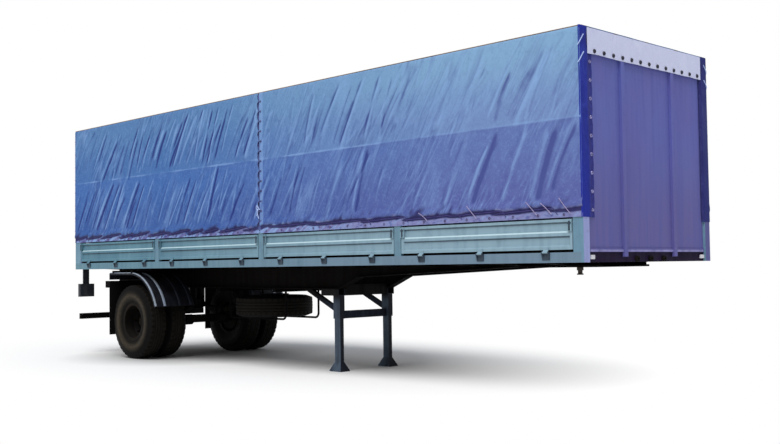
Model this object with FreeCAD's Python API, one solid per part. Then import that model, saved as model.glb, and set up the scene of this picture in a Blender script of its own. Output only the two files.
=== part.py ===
"""Single-axle tilt semi-trailer with drop sides, all sizes in millimetres.

+X is forward (the kingpin end), +Y is the trailer's left, +Z is up.
The origin is on the ground, under the middle of the trailer's overall box.
"""
import FreeCAD
import Part
import math
import os

V = FreeCAD.Vector

# ---- overall ----
LENGTH = 10000.0            # over the tailgate's hinges and the front flap
WIDTH = 2500.0              # over the side boards' hinges
TILT_HEIGHT = 1847.0        # from the tilt's lower hem to its roof
CLOTH = 5.0                 # tilt cloth, as plain panels
SOFT_GAP = 0.3              # between the cloth and what carries it

# ---- running gear ----
TYRE_RADIUS = 560.0
TYRE_WIDTH = 310.0
TREAD_WIDTH = 236.0
TREAD_DEPTH = 32.0
SIDEWALL = 14.0
SHOULDER_DROP = 15.0        # tread's outer edge below the crown
TREAD_CROWN = 7.0           # tread's flat edge below the crown
SHOULDER_REACH = 4.0        # shoulder outside the tread, on each side
BEAD_CLEARANCE = 6.0        # sidewall's foot above the rim's flange
BEAD_WIDTH = 26.0
SIDEWALL_BULGE = 0.51       # widest place, as a share of the sidewall's height
RIM_RADIUS = 254.0          # bead seat
RIM_FLANGE_RADIUS = 290.0
RIM_WIDTH = 216.0
RIM_METAL = 8.0
RIM_FLANGE = 6.0
DISC_OFFSET = 175.0         # from a rim's middle to its disc's mounting face
DISC_METAL = 12.0
DISC_BORE = 141.0
DISC_FLAT = 59.0            # flat ring round the disc's bore
DISC_ROOT = 30.0            # disc meets the barrel this far behind the rim's middle
HAND_HOLES = 8
HAND_HOLE_RADIUS = 20.0
AXLE_FROM_REAR = 1750.0
TYRE_INSET = 35.0           # outer tyre's face inside the overall width
AXLE_SIZE = 120.0
SPINDLE_RADIUS = 45.0
SPINDLE_GAP = 0.3
HUB_RADIUS = 100.0
HUB_PILOT_GAP = 0.4         # hub to the discs' bore
HUB_PILOT = 20.0            # pilot's reach past the discs
HUB_FLANGE_REACH = 54.0     # hub flange past the discs' bore
HUB_FLANGE = 20.0
HUB_NOSE = 115.0            # hub's shoulder, from the plane between the discs
HUB_CAP = (                 # cap's steps past the shoulder: share of hub radius, y
    (0.7, 125.0),
    (0.65, 150.0),
)
HUB_BORE_END = 110.0
HUB_WALL = 50.0
HUB_TAIL = 212.0            # hub's inner end behind the drum's back
SPINDLE_END = 105.0         # spindle's end outside the plane between the discs
DRUM_RADIUS = 198.0
DRUM_WALL = 12.0
DRUM_WIDTH = 232.0
SEAT_GAP = 0.3              # tyre to rim, disc to disc, disc to hub
SHIELD_GAP = 8.0            # dust shield to drum

LEAF_COUNT = 6
LEAF_THICKNESS = 14.0
LEAF_WIDTH = 90.0
SPRING_HALF = 640.0
LEAF_STEP = 78.0            # each lower leaf is this much shorter, each end
SPRING_RADIUS = 1690.0
SPRING_SEAT = 10.0
HANGER_PLATE = 8.0
HANGER_REACH = 55.0         # half the hanger's length
HANGER_SIDE_GAP = 5.0       # spring leaf to the hanger's cheeks
HANGER_SHOE = 40.0
HANGER_DROP = 75.0          # cheeks below the shoe's face
HANGER_TIP = 25.0           # hanger's middle inside the spring's tip

# ---- frame ----
GUARD_CLEARANCE = 175.0     # from the tyre's top to the mudguard
GUARD_TO_RAIL = 72.0        # from the mudguard to the side rail's bottom
SIDE_RAIL_HEIGHT = 100.0
SIDE_RAIL_FLANGE = 50.0
END_BEAM_DEPTH = 60.0
CHANNEL_METAL = 6.0
DECK_THICKNESS = 30.0
PLANKS = 8
PLANK_GAP = 4.0
TYRE_TO_MAIN_RAIL = 45.0    # inner tyre to the main rail's flange
MAIN_RAIL_FLANGE = 120.0
MAIN_RAIL_METAL = 12.0
MAIN_RAIL_WEB = 8.0
MAIN_RAIL_DEPTH = 374.0
NECK_DEPTH = 221.0          # rail depth where the gooseneck's slope ends
COUPLER_RAIL_DEPTH = 109.0
NOSE_DEPTH = 62.0           # rail depth ahead of the coupler plate
NECK_SLOPE_LENGTH = 365.0   # along X, from the legs' front faces
COUPLER_LENGTH = 1000.0
COUPLER_SETBACK = 350.0
COUPLER_THICKNESS = 10.0
CROSS_COUNT = 15
CROSS_HEIGHT = 80.0
CROSS_WIDTH = 50.0
OUTRIGGER_ROOT = 97.0       # outrigger height at the main rail

# ---- kingpin, radii and lengths from the plate down ----
KINGPIN_SETBACK = 900.0
KINGPIN = (                 # name, radius, length
    ("collar", 36.5, 35.0),
    ("neck", 25.4, 35.0),
    ("head", 35.7, 14.0),
)

# ---- body above the deck ----
FRONT_POST_LENGTH = 120.0
REAR_POST_LENGTH = 170.0
CORNER_POST_WIDTH = 100.0
SIDE_POST_LENGTH = 100.0
SIDE_POST_WIDTH = 50.0
BAYS = 4                    # drop-side boards on each side
BOARD_HEIGHT = 295.0
BOARD_THICKNESS = 25.0
BOARD_SHEET = 8.0
BOARD_FRAME = 28.0          # rim round a board's pressed fields
BOARD_RIB = 30.0            # rib between the two fields
BOARD_SLOPE = 16.0          # pressed fields' sloping sides
BOARD_GAP = 26.0            # board's foot to the deck
BOARD_END_GAP = 10.0        # board's ends to the posts
HEM_CLEARANCE = 15.0        # board's top to the tilt's hem
BOW_HEIGHT = 60.0
BOW_WIDTH = 40.0
BATTEN_THICKNESS = 20.0
BATTEN_WIDTH = 60.0
BATTENS = 5
WALL_SHEET = 8.0
WALL_RIB = 30.0             # front wall's ribs stand this proud
WALL_RIB_WIDTH = 60.0
WALL_RIB_Y = 480.0
WALL_RIB_FOOT = 47.0        # ribs' feet below the deck
WALL_TOE = 40.0             # trim along the wall's foot
WALL_TOE_PROUD = 10.0
FLAP_HEIGHT = 262.0
WRAP_WIDTH = 115.0

# ---- drop-side and tailgate hinges ----
KNUCKLE_RADIUS = 12.0
KNUCKLE_WIDTH = 60.0
HINGE_STANDOFF = 18.0       # hinge axis outside the boards' outer face
PIN_RADIUS = 7.0
PIN_GAP = 0.3
EAR_RADIUS = 11.0
EAR_WIDTH = 12.0
EAR_GAP = 3.0
HINGE_PITCH = 840.0
STRAP_LENGTH = 28.0         # strap's height on the board's rim
STRAP_METAL = 6.0
BRACKET_TOP = 12.0          # bracket plate's top below the hinge axis
BRACKET_HEIGHT = 62.0
LATCH_LENGTH = 50.0
LATCH_HEIGHT = 110.0
LATCH_PROUD = 14.0
LATCH_DROP = 8.0            # latch below the board's top

# ---- legs ----
LEGS_FROM_REAR = 5630.0
LEG_INSET = 10.0            # leg's middle inside the main rail's
LEG_OUTER = (130.0, 80.0)   # along X, along Y
LEG_INNER = (110.0, 60.0)
LEG_FOOT = (220.0, 160.0)
FOOT_PLATE = 12.0
FOOT_HEIGHT = 120.0
CROSS_BAR_Z = (680.0, 780.0)
CROSS_BAR_THICKNESS = 50.0
LEG_BRACKET_DROP = 83.0
LEG_BRACKET_REACH = 270.0   # behind the leg's middle; the front is flush with the leg
LEG_BEAM_HEIGHT = 140.0
LEG_BEAM_THICKNESS = 120.0
BRACE_WIDTH = 50.0
BRACE_DEPTH = 68.0
BRACE_FOOT_Z = 812.0
BRACE_SLOPE = 0.467
BRACKET_METAL = 10.0

# ---- mudguards, flaps and lamps ----
GUARD_METAL = 4.0
GUARD_LIP = 26.0
GUARD_TO_MAIN_RAIL = 30.0   # guard's inner edge to the main rail's flange
GUARD_OUTER_INSET = 25.0
GUARD_FRONT_ANGLE = 19.0    # above the axle, at the guard's front end
GUARD_BEHIND = 60.0         # straight top's end behind the tyre
GUARD_TAIL = 100.0          # turned-down rear edge
GUARD_BAR = 40.0
GUARD_BARS = (20.0, -530.0)             # bars' rear faces ahead of the axle
FLAP_BAR = (120.0, 105.0)   # along X, along Z
FLAP_METAL = 8.0
FLAP_INSET = 15.0           # flap's inner edge outside the guard's
FLAP_TO_GUARD = 39.0        # flap's top below the guard's turned-down edge
FLAP_BOTTOM = 345.0
UNDERRUN_Z = (560.0, 650.0)
UNDERRUN_DEPTH = 60.0
UNDERRUN_INSET = 60.0       # bar's ends inside the overall width
UNDERRUN_FROM_REAR = 100.0
STAY_WIDTH = 80.0
LAMP_Y_INSET = 190.0
LAMP_BOX = (70.0, 250.0, 210.0)
LAMP_STEM = (30.0, 100.0, 237.0)
LAMP_STEM_INSET = 10.0      # stem's rear face inside the lamp's
LAMP_FROM_REAR = 50.0

# ---- spare wheel and air tank ----
SPARE_FROM_REAR = 3720.0
CRADLE_ROD = 15.0
CRADLE_Y = 300.0
CRADLE_BEND = 70.0
CRADLE_FRONT_FROM_REAR = 4360.0
CRADLE_REAR_FROM_REAR = 3050.0
CRADLE_Z = 630.0
CRADLE_BEAM = (60.0, 48.0)  # along X, along Z
TANK_RADIUS = 88.0
TANK_TO_SPRING = 45.0       # tank's end to the leaf spring
TANK_Z = 780.0
TANK_FROM_REAR = 1215.0
TANK_STRAP_Y = 150.0
TANK_STRAP = (50.0, 8.0)    # along X, along Y

# ---- brake chambers ----
CHAMBER_RADIUS = 80.0
CHAMBER_LENGTH = 130.0
CHAMBER_TO_SPRING = 35.0    # chamber's end to the leaf spring
CHAMBER_REACH = 110.0       # chamber's middle ahead of the axle's face
PUSH_ROD_RADIUS = 10.0
CHAMBER_BRACKET = (60.0, 80.0)          # along Y, along Z

# ---- front connections ----
COUPLING_RADIUS = 30.0
COUPLING_BORE = 12.0
COUPLING_DEPTH = 22.0
COUPLING_LENGTH = 28.0
COUPLING_DROP = 18.0        # couplings below the front beam's middle
COUPLINGS = (               # name, y
    ("service line", -260.0),
    ("electric socket", 0.0),
    ("supply line", 260.0),
)

# ---- places worked out from the sizes above ----
X_REAR = -LENGTH / 2
X_FRONT = LENGTH / 2
X_AXLE = X_REAR + AXLE_FROM_REAR
Z_AXLE = TYRE_RADIUS
Z_GUARD = 2 * TYRE_RADIUS + GUARD_CLEARANCE
Z_SIDE_RAIL = Z_GUARD + GUARD_TO_RAIL
Z_DECK = Z_SIDE_RAIL + SIDE_RAIL_HEIGHT
Z_FRAME = Z_DECK - DECK_THICKNESS
Z_MAIN = Z_FRAME - MAIN_RAIL_DEPTH
Z_COUPLER = Z_FRAME - COUPLER_RAIL_DEPTH
Z_BOARD = Z_DECK + BOARD_GAP
Z_BOARD_TOP = Z_BOARD + BOARD_HEIGHT
Z_HEM = Z_BOARD_TOP + HEM_CLEARANCE
Z_ROOF = Z_HEM + TILT_HEIGHT
Z_BATTEN = Z_ROOF - CLOTH - SOFT_GAP
Z_BOW = Z_BATTEN - BATTEN_THICKNESS
Z_POST = Z_BOW - BOW_HEIGHT
Z_CRADLE_BEAM = Z_MAIN - CRADLE_BEAM[1]

HINGE_INSET = KNUCKLE_RADIUS + HINGE_STANDOFF
Y_HINGE = WIDTH / 2 - KNUCKLE_RADIUS
Y_FACE = WIDTH / 2 - HINGE_INSET            # posts, boards and side rails
X_TAIL_FACE = X_REAR + HINGE_INSET
X_POST_FACE = X_FRONT - CLOTH - SOFT_GAP
X_WALL = X_POST_FACE - WALL_RIB             # front wall's and front beam's outer face
X_BEAM_FRONT = X_WALL - END_BEAM_DEPTH
X_BEAM_REAR = X_TAIL_FACE + END_BEAM_DEPTH
Y_CORNER = Y_FACE - CORNER_POST_WIDTH
Y_CLOTH = Y_FACE + SOFT_GAP
Y_CLOTH_OUT = Y_CLOTH + CLOTH
X_TAIL_CLOTH = X_TAIL_FACE - SOFT_GAP
Y_DECK = Y_FACE - SIDE_RAIL_FLANGE
Y_BEAM = Y_FACE - CHANNEL_METAL             # end beams' ends, against the side rails' webs
X_COUPLER_END = X_FRONT - COUPLER_SETBACK
X_COUPLER = X_COUPLER_END - COUPLER_LENGTH
X_LEG = X_REAR + LEGS_FROM_REAR
X_NECK_REAR = X_LEG + LEG_OUTER[0] / 2
X_NECK_FRONT = X_NECK_REAR + NECK_SLOPE_LENGTH
Y_TWIN = WIDTH / 2 - TYRE_INSET - TYRE_WIDTH / 2 - DISC_OFFSET      # between the discs
MAIN_RAIL_Y = Y_TWIN - DISC_OFFSET - TYRE_WIDTH / 2 - TYRE_TO_MAIN_RAIL - MAIN_RAIL_FLANGE / 2
LEG_Y = MAIN_RAIL_Y - LEG_INSET
TANK_HALF = MAIN_RAIL_Y - LEAF_WIDTH / 2 - TANK_TO_SPRING
GUARD_OUTER_Y = WIDTH / 2 - GUARD_OUTER_INSET
MAIN_RAIL_OUT = MAIN_RAIL_Y + MAIN_RAIL_FLANGE / 2
MAIN_RAIL_IN = MAIN_RAIL_Y - MAIN_RAIL_FLANGE / 2
GUARD_INNER_Y = MAIN_RAIL_OUT + GUARD_TO_MAIN_RAIL
GUARD_REAR = TYRE_RADIUS + GUARD_BEHIND
DRUM_BACK = -(DISC_METAL + 2 * SEAT_GAP + HUB_FLANGE)      # from the plane between the discs
DRUM_MOUTH = DRUM_BACK - DRUM_WIDTH
Y_SHIELD = Y_TWIN + DRUM_MOUTH - SHIELD_GAP
Z_LEG_TOP = Z_MAIN - LEG_BRACKET_DROP
POST_PITCH = LENGTH / BAYS


# ---- plain shapes ----
def box(x0, x1, y0, y1, z0, z1):
    return Part.makeBox(x1 - x0, y1 - y0, z1 - z0, V(x0, y0, z0))


def union(shapes):
    return shapes[0].fuse(shapes[1:]).removeSplitter()


def prism_x(points, x0, x1):
    """A (y, z) outline, run along X."""
    ring = [V(x0, y, z) for y, z in points]
    return Part.Face(Part.makePolygon(ring + ring[:1])).extrude(V(x1 - x0, 0, 0))


def prism_y(points, y0, y1):
    """An (x, z) outline, run along Y."""
    ring = [V(x, y0, z) for x, z in points]
    return Part.Face(Part.makePolygon(ring + ring[:1])).extrude(V(0, y1 - y0, 0))


def rod_y(radius, y0, y1, x, z):
    return Part.makeCylinder(radius, y1 - y0, V(x, y0, z), V(0, 1, 0))


def rod_x(radius, x0, x1, y, z):
    return Part.makeCylinder(radius, x1 - x0, V(x0, y, z), V(1, 0, 0))


def turned(points):
    """A closed (radius, y) outline, turned about the Y axis."""
    ring = [V(r, y, 0) for r, y in points]
    face = Part.Face(Part.makePolygon(ring + ring[:1]))
    return face.revolve(V(0, 0, 0), V(0, 1, 0), 360)


def left_copy(shape):
    """The same piece on the trailer's left."""
    return shape.mirror(V(0, 0, 0), V(0, 1, 0))


def pair(shape):
    return [shape, left_copy(shape)]


def channel_y(outline, x0, x1, y0, y1, metal):
    """A channel along X: web at outline[0], flanges reaching to outline[1] in Y."""
    web, tip = outline
    inner = web + metal if tip > web else web - metal
    low, high = sorted((web, inner))
    f0, f1 = sorted((web, tip))
    return union([
        box(x0, x1, low, high, y0, y1),
        box(x0, x1, f0, f1, y0, y0 + metal),
        box(x0, x1, f0, f1, y1 - metal, y1),
    ])


# ---- frame ----
def main_rail_floor():
    """The rail's lower edge, from the rear to the coupler's front, as (x, z)."""
    return [
        (X_BEAM_REAR, Z_MAIN),
        (X_NECK_REAR, Z_MAIN),
        (X_NECK_FRONT, Z_FRAME - NECK_DEPTH),
        (X_COUPLER, Z_COUPLER),
        (X_COUPLER_END, Z_COUPLER),
    ]


def main_rail():
    """A plate girder on the right: web, top flange and a flange along its floor."""
    floor = main_rail_floor()
    x_rear = X_TAIL_FACE + CHANNEL_METAL
    x_nose = X_WALL - CHANNEL_METAL
    z_nose = Z_FRAME - NOSE_DEPTH
    outline = [(x_rear, z_nose), (X_BEAM_REAR, z_nose)] + floor
    outline += [(X_COUPLER_END, z_nose), (x_nose, z_nose), (x_nose, Z_FRAME), (x_rear, Z_FRAME)]
    strip = floor + [(x, z + MAIN_RAIL_METAL) for x, z in reversed(floor)]
    y0, y1 = -MAIN_RAIL_OUT, -MAIN_RAIL_IN
    half_web = MAIN_RAIL_WEB / 2
    return union([
        prism_y(outline, -MAIN_RAIL_Y - half_web, -MAIN_RAIL_Y + half_web),
        prism_y(strip, y0, y1),
        box(x_rear, x_nose, y0, y1, Z_FRAME - MAIN_RAIL_METAL, Z_FRAME),
    ])


def main_rail_lengths():
    """The right rail in the straight lengths that are welded end to end, by node."""
    cuts = (
        ("main_rails", X_REAR, X_NECK_REAR),
        ("gooseneck_slopes", X_NECK_REAR, X_NECK_FRONT),
        ("gooseneck_rails", X_NECK_FRONT, X_COUPLER),
        ("coupler_rails", X_COUPLER, X_FRONT),
    )
    rail = main_rail()
    return {name: rail.common(box(x0, x1, -MAIN_RAIL_OUT, -MAIN_RAIL_IN, Z_MAIN, Z_FRAME))
            for name, x0, x1 in cuts}


def side_rail():
    """A channel between the end beams, its web run on over their ends."""
    channel = channel_y((-Y_FACE, -Y_DECK), X_BEAM_REAR, X_BEAM_FRONT, Z_SIDE_RAIL, Z_DECK,
                        CHANNEL_METAL)
    web = box(X_TAIL_FACE, X_WALL, -Y_FACE, -Y_BEAM, Z_SIDE_RAIL, Z_DECK)
    return union([channel, web])


def end_beam(x_face, x_tip):
    """A channel across the trailer between the side rails' webs, its own web at x_face."""
    x_in = x_face + math.copysign(CHANNEL_METAL, x_tip - x_face)
    w0, w1 = sorted((x_face, x_in))
    f0, f1 = sorted((x_face, x_tip))
    return union([
        box(w0, w1, -Y_BEAM, Y_BEAM, Z_SIDE_RAIL, Z_DECK),
        box(f0, f1, -Y_BEAM, Y_BEAM, Z_SIDE_RAIL, Z_SIDE_RAIL + CHANNEL_METAL),
        box(f0, f1, -Y_BEAM, Y_BEAM, Z_DECK - CHANNEL_METAL, Z_DECK),
    ])


def cross_stations():
    """The cross members' rear faces."""
    step = (X_BEAM_FRONT - X_BEAM_REAR) / (CROSS_COUNT + 1)
    return [X_BEAM_REAR + step * (i + 1) - CROSS_WIDTH / 2 for i in range(CROSS_COUNT)]


def cross_member(x):
    """A channel between the main rails."""
    z0, z1 = Z_FRAME - CROSS_HEIGHT, Z_FRAME
    y = MAIN_RAIL_IN
    return union([
        box(x, x + CHANNEL_METAL, -y, y, z0, z1),
        box(x, x + CROSS_WIDTH, -y, y, z0, z0 + CHANNEL_METAL),
        box(x, x + CROSS_WIDTH, -y, y, z1 - CHANNEL_METAL, z1),
    ])


def outrigger(x):
    """A tapered bracket from the right main rail to the side rail."""
    root, tip = -MAIN_RAIL_OUT, -Y_FACE + CHANNEL_METAL
    shoulder = -Y_DECK
    z_root = Z_FRAME - OUTRIGGER_ROOT
    z_tip = Z_SIDE_RAIL + CHANNEL_METAL
    web = [(root, z_root), (root, Z_FRAME), (shoulder, Z_FRAME), (tip, Z_FRAME),
           (tip, z_tip), (shoulder, z_tip)]
    foot = [(root, z_root), (root, z_root + CHANNEL_METAL), (shoulder, z_tip + CHANNEL_METAL),
            (tip, z_tip + CHANNEL_METAL), (tip, z_tip), (shoulder, z_tip)]
    return union([
        prism_x(web, x, x + CHANNEL_METAL),
        prism_x(foot, x, x + CROSS_WIDTH),
        box(x, x + CROSS_WIDTH, tip, root, Z_FRAME - CHANNEL_METAL, Z_FRAME),
    ])


def deck_planks():
    width = (2 * Y_DECK - (PLANKS - 1) * PLANK_GAP) / PLANKS
    planks = []
    for i in range(PLANKS):
        y = -Y_DECK + i * (width + PLANK_GAP)
        planks.append(box(X_BEAM_REAR, X_BEAM_FRONT, y, y + width, Z_FRAME, Z_DECK))
    return planks


def coupler_plate():
    return box(X_COUPLER, X_COUPLER_END, -MAIN_RAIL_OUT, MAIN_RAIL_OUT,
               Z_COUPLER - COUPLER_THICKNESS, Z_COUPLER)


def kingpin():
    x = X_FRONT - KINGPIN_SETBACK
    z = Z_COUPLER - COUPLER_THICKNESS
    pieces = []
    for _, radius, length in KINGPIN:
        z -= length
        pieces.append(Part.makeCylinder(radius, length, V(x, 0, z), V(0, 0, 1)))
    return union(pieces)


# ---- front wall, posts and roof ----
def front_wall():
    """Sheet with two outer ribs, a top rail and a toe trim."""
    pieces = [
        box(X_WALL - WALL_SHEET, X_WALL, -Y_CORNER, Y_CORNER, Z_DECK, Z_POST),
        box(X_WALL, X_POST_FACE, -Y_CORNER, Y_CORNER, Z_POST - BOW_HEIGHT, Z_POST),
        box(X_WALL, X_WALL + WALL_TOE_PROUD, -Y_CORNER, Y_CORNER, Z_DECK, Z_DECK + WALL_TOE),
    ]
    for y in (-WALL_RIB_Y, WALL_RIB_Y):
        pieces.append(box(X_WALL, X_POST_FACE, y - WALL_RIB_WIDTH / 2, y + WALL_RIB_WIDTH / 2,
                          Z_DECK - WALL_RIB_FOOT, Z_POST - BOW_HEIGHT))
    return union(pieces)


def front_corner_post():
    """Stands on the front beam's end, with a face plate down over it."""
    return union([
        box(X_POST_FACE - FRONT_POST_LENGTH, X_POST_FACE, -Y_FACE, -Y_CORNER, Z_DECK, Z_POST),
        box(X_WALL, X_POST_FACE, -Y_FACE, -Y_CORNER, Z_SIDE_RAIL, Z_DECK),
    ])


def rear_corner_post():
    return box(X_TAIL_FACE, X_TAIL_FACE + REAR_POST_LENGTH, -Y_FACE, -Y_CORNER,
               Z_DECK, Z_POST)


def side_post_places():
    return [X_REAR + POST_PITCH * i for i in range(1, BAYS)]


def side_post(x):
    half = SIDE_POST_LENGTH / 2
    return box(x - half, x + half, -Y_FACE, -Y_FACE + SIDE_POST_WIDTH, Z_DECK, Z_POST)


def roof_bows():
    """A bow over each pair of posts."""
    half = BOW_WIDTH / 2
    middles = [X_TAIL_FACE + half] + side_post_places() + [X_POST_FACE - half]
    return [box(x - half, x + half, -Y_FACE, Y_FACE, Z_POST, Z_BOW) for x in middles]


def roof_battens():
    """Slats along the roof, the outer two flush with the posts."""
    step = (2 * Y_FACE - BATTEN_WIDTH) / (BATTENS - 1)
    return [box(X_TAIL_FACE, X_POST_FACE, -Y_FACE + i * step, -Y_FACE + i * step + BATTEN_WIDTH,
                Z_BOW, Z_BATTEN) for i in range(BATTENS)]


# ---- tilt cloth, as plain panels ----
def tilt_side(x0, x1):
    """One half of the right side."""
    return box(x0, x1, -Y_CLOTH_OUT, -Y_CLOTH, Z_HEM, Z_ROOF - CLOTH)


def tilt_roof():
    return box(X_TAIL_CLOTH - CLOTH, X_FRONT, -Y_CLOTH_OUT, Y_CLOTH_OUT, Z_ROOF - CLOTH, Z_ROOF)


def tilt_rear():
    return box(X_TAIL_CLOTH - CLOTH, X_TAIL_CLOTH, -Y_CLOTH_OUT, Y_CLOTH_OUT,
               Z_HEM, Z_ROOF - CLOTH)


def corner_wrap():
    return box(X_FRONT - CLOTH, X_FRONT, -Y_CLOTH_OUT, -Y_CLOTH_OUT + WRAP_WIDTH,
               Z_HEM, Z_ROOF - CLOTH)


def front_flap():
    y = Y_CLOTH_OUT - WRAP_WIDTH
    return box(X_FRONT - CLOTH, X_FRONT, -y, y, Z_ROOF - CLOTH - FLAP_HEIGHT, Z_ROOF - CLOTH)


# ---- drop boards and their hinges ----
# Both are drawn for the right side, with the hinge axis along X.
def field(x0, x1, z0, z1, y_face, depth):
    """A pressed field with sloping sides, to be cut from a board's outer face."""
    def ring(inset, y):
        a, b, c, d = x0 + inset, x1 - inset, z0 + inset, z1 - inset
        corners = [V(a, y, c), V(b, y, c), V(b, y, d), V(a, y, d)]
        return Part.makePolygon(corners + corners[:1])
    return Part.makeLoft([ring(0, y_face), ring(BOARD_SLOPE, y_face + depth)], True, True)


def hinge_places(x0, x1):
    """Middle of each hinge on a board from x0 to x1."""
    middle = (x0 + x1) / 2
    count = max(2, int((x1 - x0) / HINGE_PITCH) + 1)
    return [middle + HINGE_PITCH * (i - (count - 1) / 2) for i in range(count)]


def hinge_knuckle(x, y_face, y_axis, z_axis):
    """A strap on the board's rim, bent out and down to an eye round the hinge pin."""
    half = KNUCKLE_WIDTH / 2
    z_board = z_axis + BOARD_GAP
    eye = rod_x(KNUCKLE_RADIUS, x - half, x + half, y_axis, z_axis)
    strap = [(y_axis - KNUCKLE_RADIUS, z_axis), (y_face - STRAP_METAL, z_board),
             (y_face - STRAP_METAL, z_board + STRAP_LENGTH), (y_face, z_board + STRAP_LENGTH),
             (y_face, z_board), (y_axis, z_axis)]
    bore = rod_x(PIN_RADIUS + PIN_GAP, x - half - 1, x + half + 1, y_axis, z_axis)
    return union([eye, prism_x(strap, x - half, x + half)]).cut(bore)


def hinge_bracket(x, y_face, y_axis, z_axis):
    """A plate on the rail with two ears that hold the pin."""
    reach = KNUCKLE_WIDTH / 2 + EAR_GAP + EAR_WIDTH
    z_top = z_axis - BRACKET_TOP
    z_low = z_top - BRACKET_HEIGHT
    pieces = [
        box(x - reach, x + reach, y_face - STRAP_METAL, y_face, z_low, z_top),
        rod_x(PIN_RADIUS, x - reach, x + reach, y_axis, z_axis),
    ]
    ear = [(y_face, z_low), (y_face - STRAP_METAL, z_low), (y_axis - EAR_RADIUS, z_axis),
           (y_face, z_axis)]
    for x0 in (x - reach, x + reach - EAR_WIDTH):
        pieces.append(prism_x(ear, x0, x0 + EAR_WIDTH))
        pieces.append(rod_x(EAR_RADIUS, x0, x0 + EAR_WIDTH, y_axis, z_axis))
    return union(pieces)


def drop_board(x0, x1, y_face, y_axis, hinges):
    """A pressed board from x0 to x1 with its straps and end latches."""
    sheet_depth = BOARD_THICKNESS - BOARD_SHEET
    board = box(x0, x1, y_face, y_face + BOARD_THICKNESS, Z_BOARD, Z_BOARD_TOP)
    field_height = (BOARD_HEIGHT - 2 * BOARD_FRAME - BOARD_RIB) / 2
    for z in (Z_BOARD + BOARD_FRAME, Z_BOARD_TOP - BOARD_FRAME - field_height):
        board = board.cut(field(x0 + BOARD_FRAME, x1 - BOARD_FRAME, z, z + field_height,
                                y_face, sheet_depth))
    pieces = [board]
    z_latch = Z_BOARD_TOP - LATCH_DROP
    for x in (x0, x1 - LATCH_LENGTH):
        pieces.append(box(x, x + LATCH_LENGTH, y_face - LATCH_PROUD, y_face,
                          z_latch - LATCH_HEIGHT, z_latch))
    for x in hinges:
        pieces.append(hinge_knuckle(x, y_face, y_axis, Z_DECK))
    return union(pieces)


def side_bays():
    """Rear and front ends of each right-hand board."""
    half = SIDE_POST_LENGTH / 2
    starts = [X_TAIL_FACE + REAR_POST_LENGTH] + [x + half for x in side_post_places()]
    ends = [x - half for x in side_post_places()] + [X_POST_FACE - FRONT_POST_LENGTH]
    return [(a + BOARD_END_GAP, b - BOARD_END_GAP) for a, b in zip(starts, ends)]


def to_tail(shape):
    """A piece drawn on the right side, its outer face at y = 0, turned to the rear end."""
    turned_piece = shape.copy()
    turned_piece.rotate(V(0, 0, 0), V(0, 0, 1), -90)
    turned_piece.translate(V(X_TAIL_FACE, 0, 0))
    return turned_piece


def tailgate():
    reach = Y_CORNER - BOARD_END_GAP
    hinges = hinge_places(-reach, reach)
    return to_tail(drop_board(-reach, reach, 0, -HINGE_STANDOFF, hinges))


def hinge_brackets():
    brackets = []
    for x0, x1 in side_bays():
        for x in hinge_places(x0, x1):
            brackets += pair(hinge_bracket(x, -Y_FACE, -Y_HINGE, Z_DECK))
    reach = Y_CORNER - BOARD_END_GAP
    for x in hinge_places(-reach, reach):
        brackets.append(to_tail(hinge_bracket(x, 0, -HINGE_STANDOFF, Z_DECK)))
    return brackets


# ---- wheels: drawn about the Y axis, outer side towards +Y ----
def tyre():
    half = TYRE_WIDTH / 2
    bead = RIM_WIDTH / 2 - SEAT_GAP
    r_bead = RIM_RADIUS + SEAT_GAP
    r_wall = RIM_FLANGE_RADIUS + BEAD_CLEARANCE
    r_foot = r_wall + SHOULDER_REACH
    r_mid = r_wall + SIDEWALL_BULGE * (TYRE_RADIUS - r_wall)
    tread = TREAD_WIDTH / 2
    shoulder = tread + SHOULDER_REACH
    r_shoulder = TYRE_RADIUS - SHOULDER_DROP
    r_edge = TYRE_RADIUS - TREAD_CROWN
    r_liner = TYRE_RADIUS - TREAD_DEPTH
    toe = bead - BEAD_WIDTH
    liner = tread - SIDEWALL

    def p(y, r):
        return V(r, y, 0)

    def line(a, b):
        return Part.LineSegment(p(*a), p(*b)).toShape()

    def arc(a, m, b):
        return Part.Arc(p(*a), p(*m), p(*b)).toShape()

    edges = [
        line((-bead, r_bead), (-bead, r_wall)),
        arc((-bead, r_wall), (-half, r_mid), (-shoulder, r_shoulder)),
        line((-shoulder, r_shoulder), (-tread, r_edge)),
        arc((-tread, r_edge), (0, TYRE_RADIUS), (tread, r_edge)),
        line((tread, r_edge), (shoulder, r_shoulder)),
        arc((shoulder, r_shoulder), (half, r_mid), (bead, r_wall)),
        line((bead, r_wall), (bead, r_bead)),
        line((bead, r_bead), (toe, r_bead)),
        line((toe, r_bead), (toe, r_foot)),
        arc((toe, r_foot), (half - SIDEWALL, r_mid), (liner, r_liner)),
        line((liner, r_liner), (-liner, r_liner)),
        arc((-liner, r_liner), (-half + SIDEWALL, r_mid), (-toe, r_foot)),
        line((-toe, r_foot), (-toe, r_bead)),
        line((-toe, r_bead), (-bead, r_bead)),
    ]
    return Part.Face(Part.Wire(edges)).revolve(V(0, 0, 0), V(0, 1, 0), 360)


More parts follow.
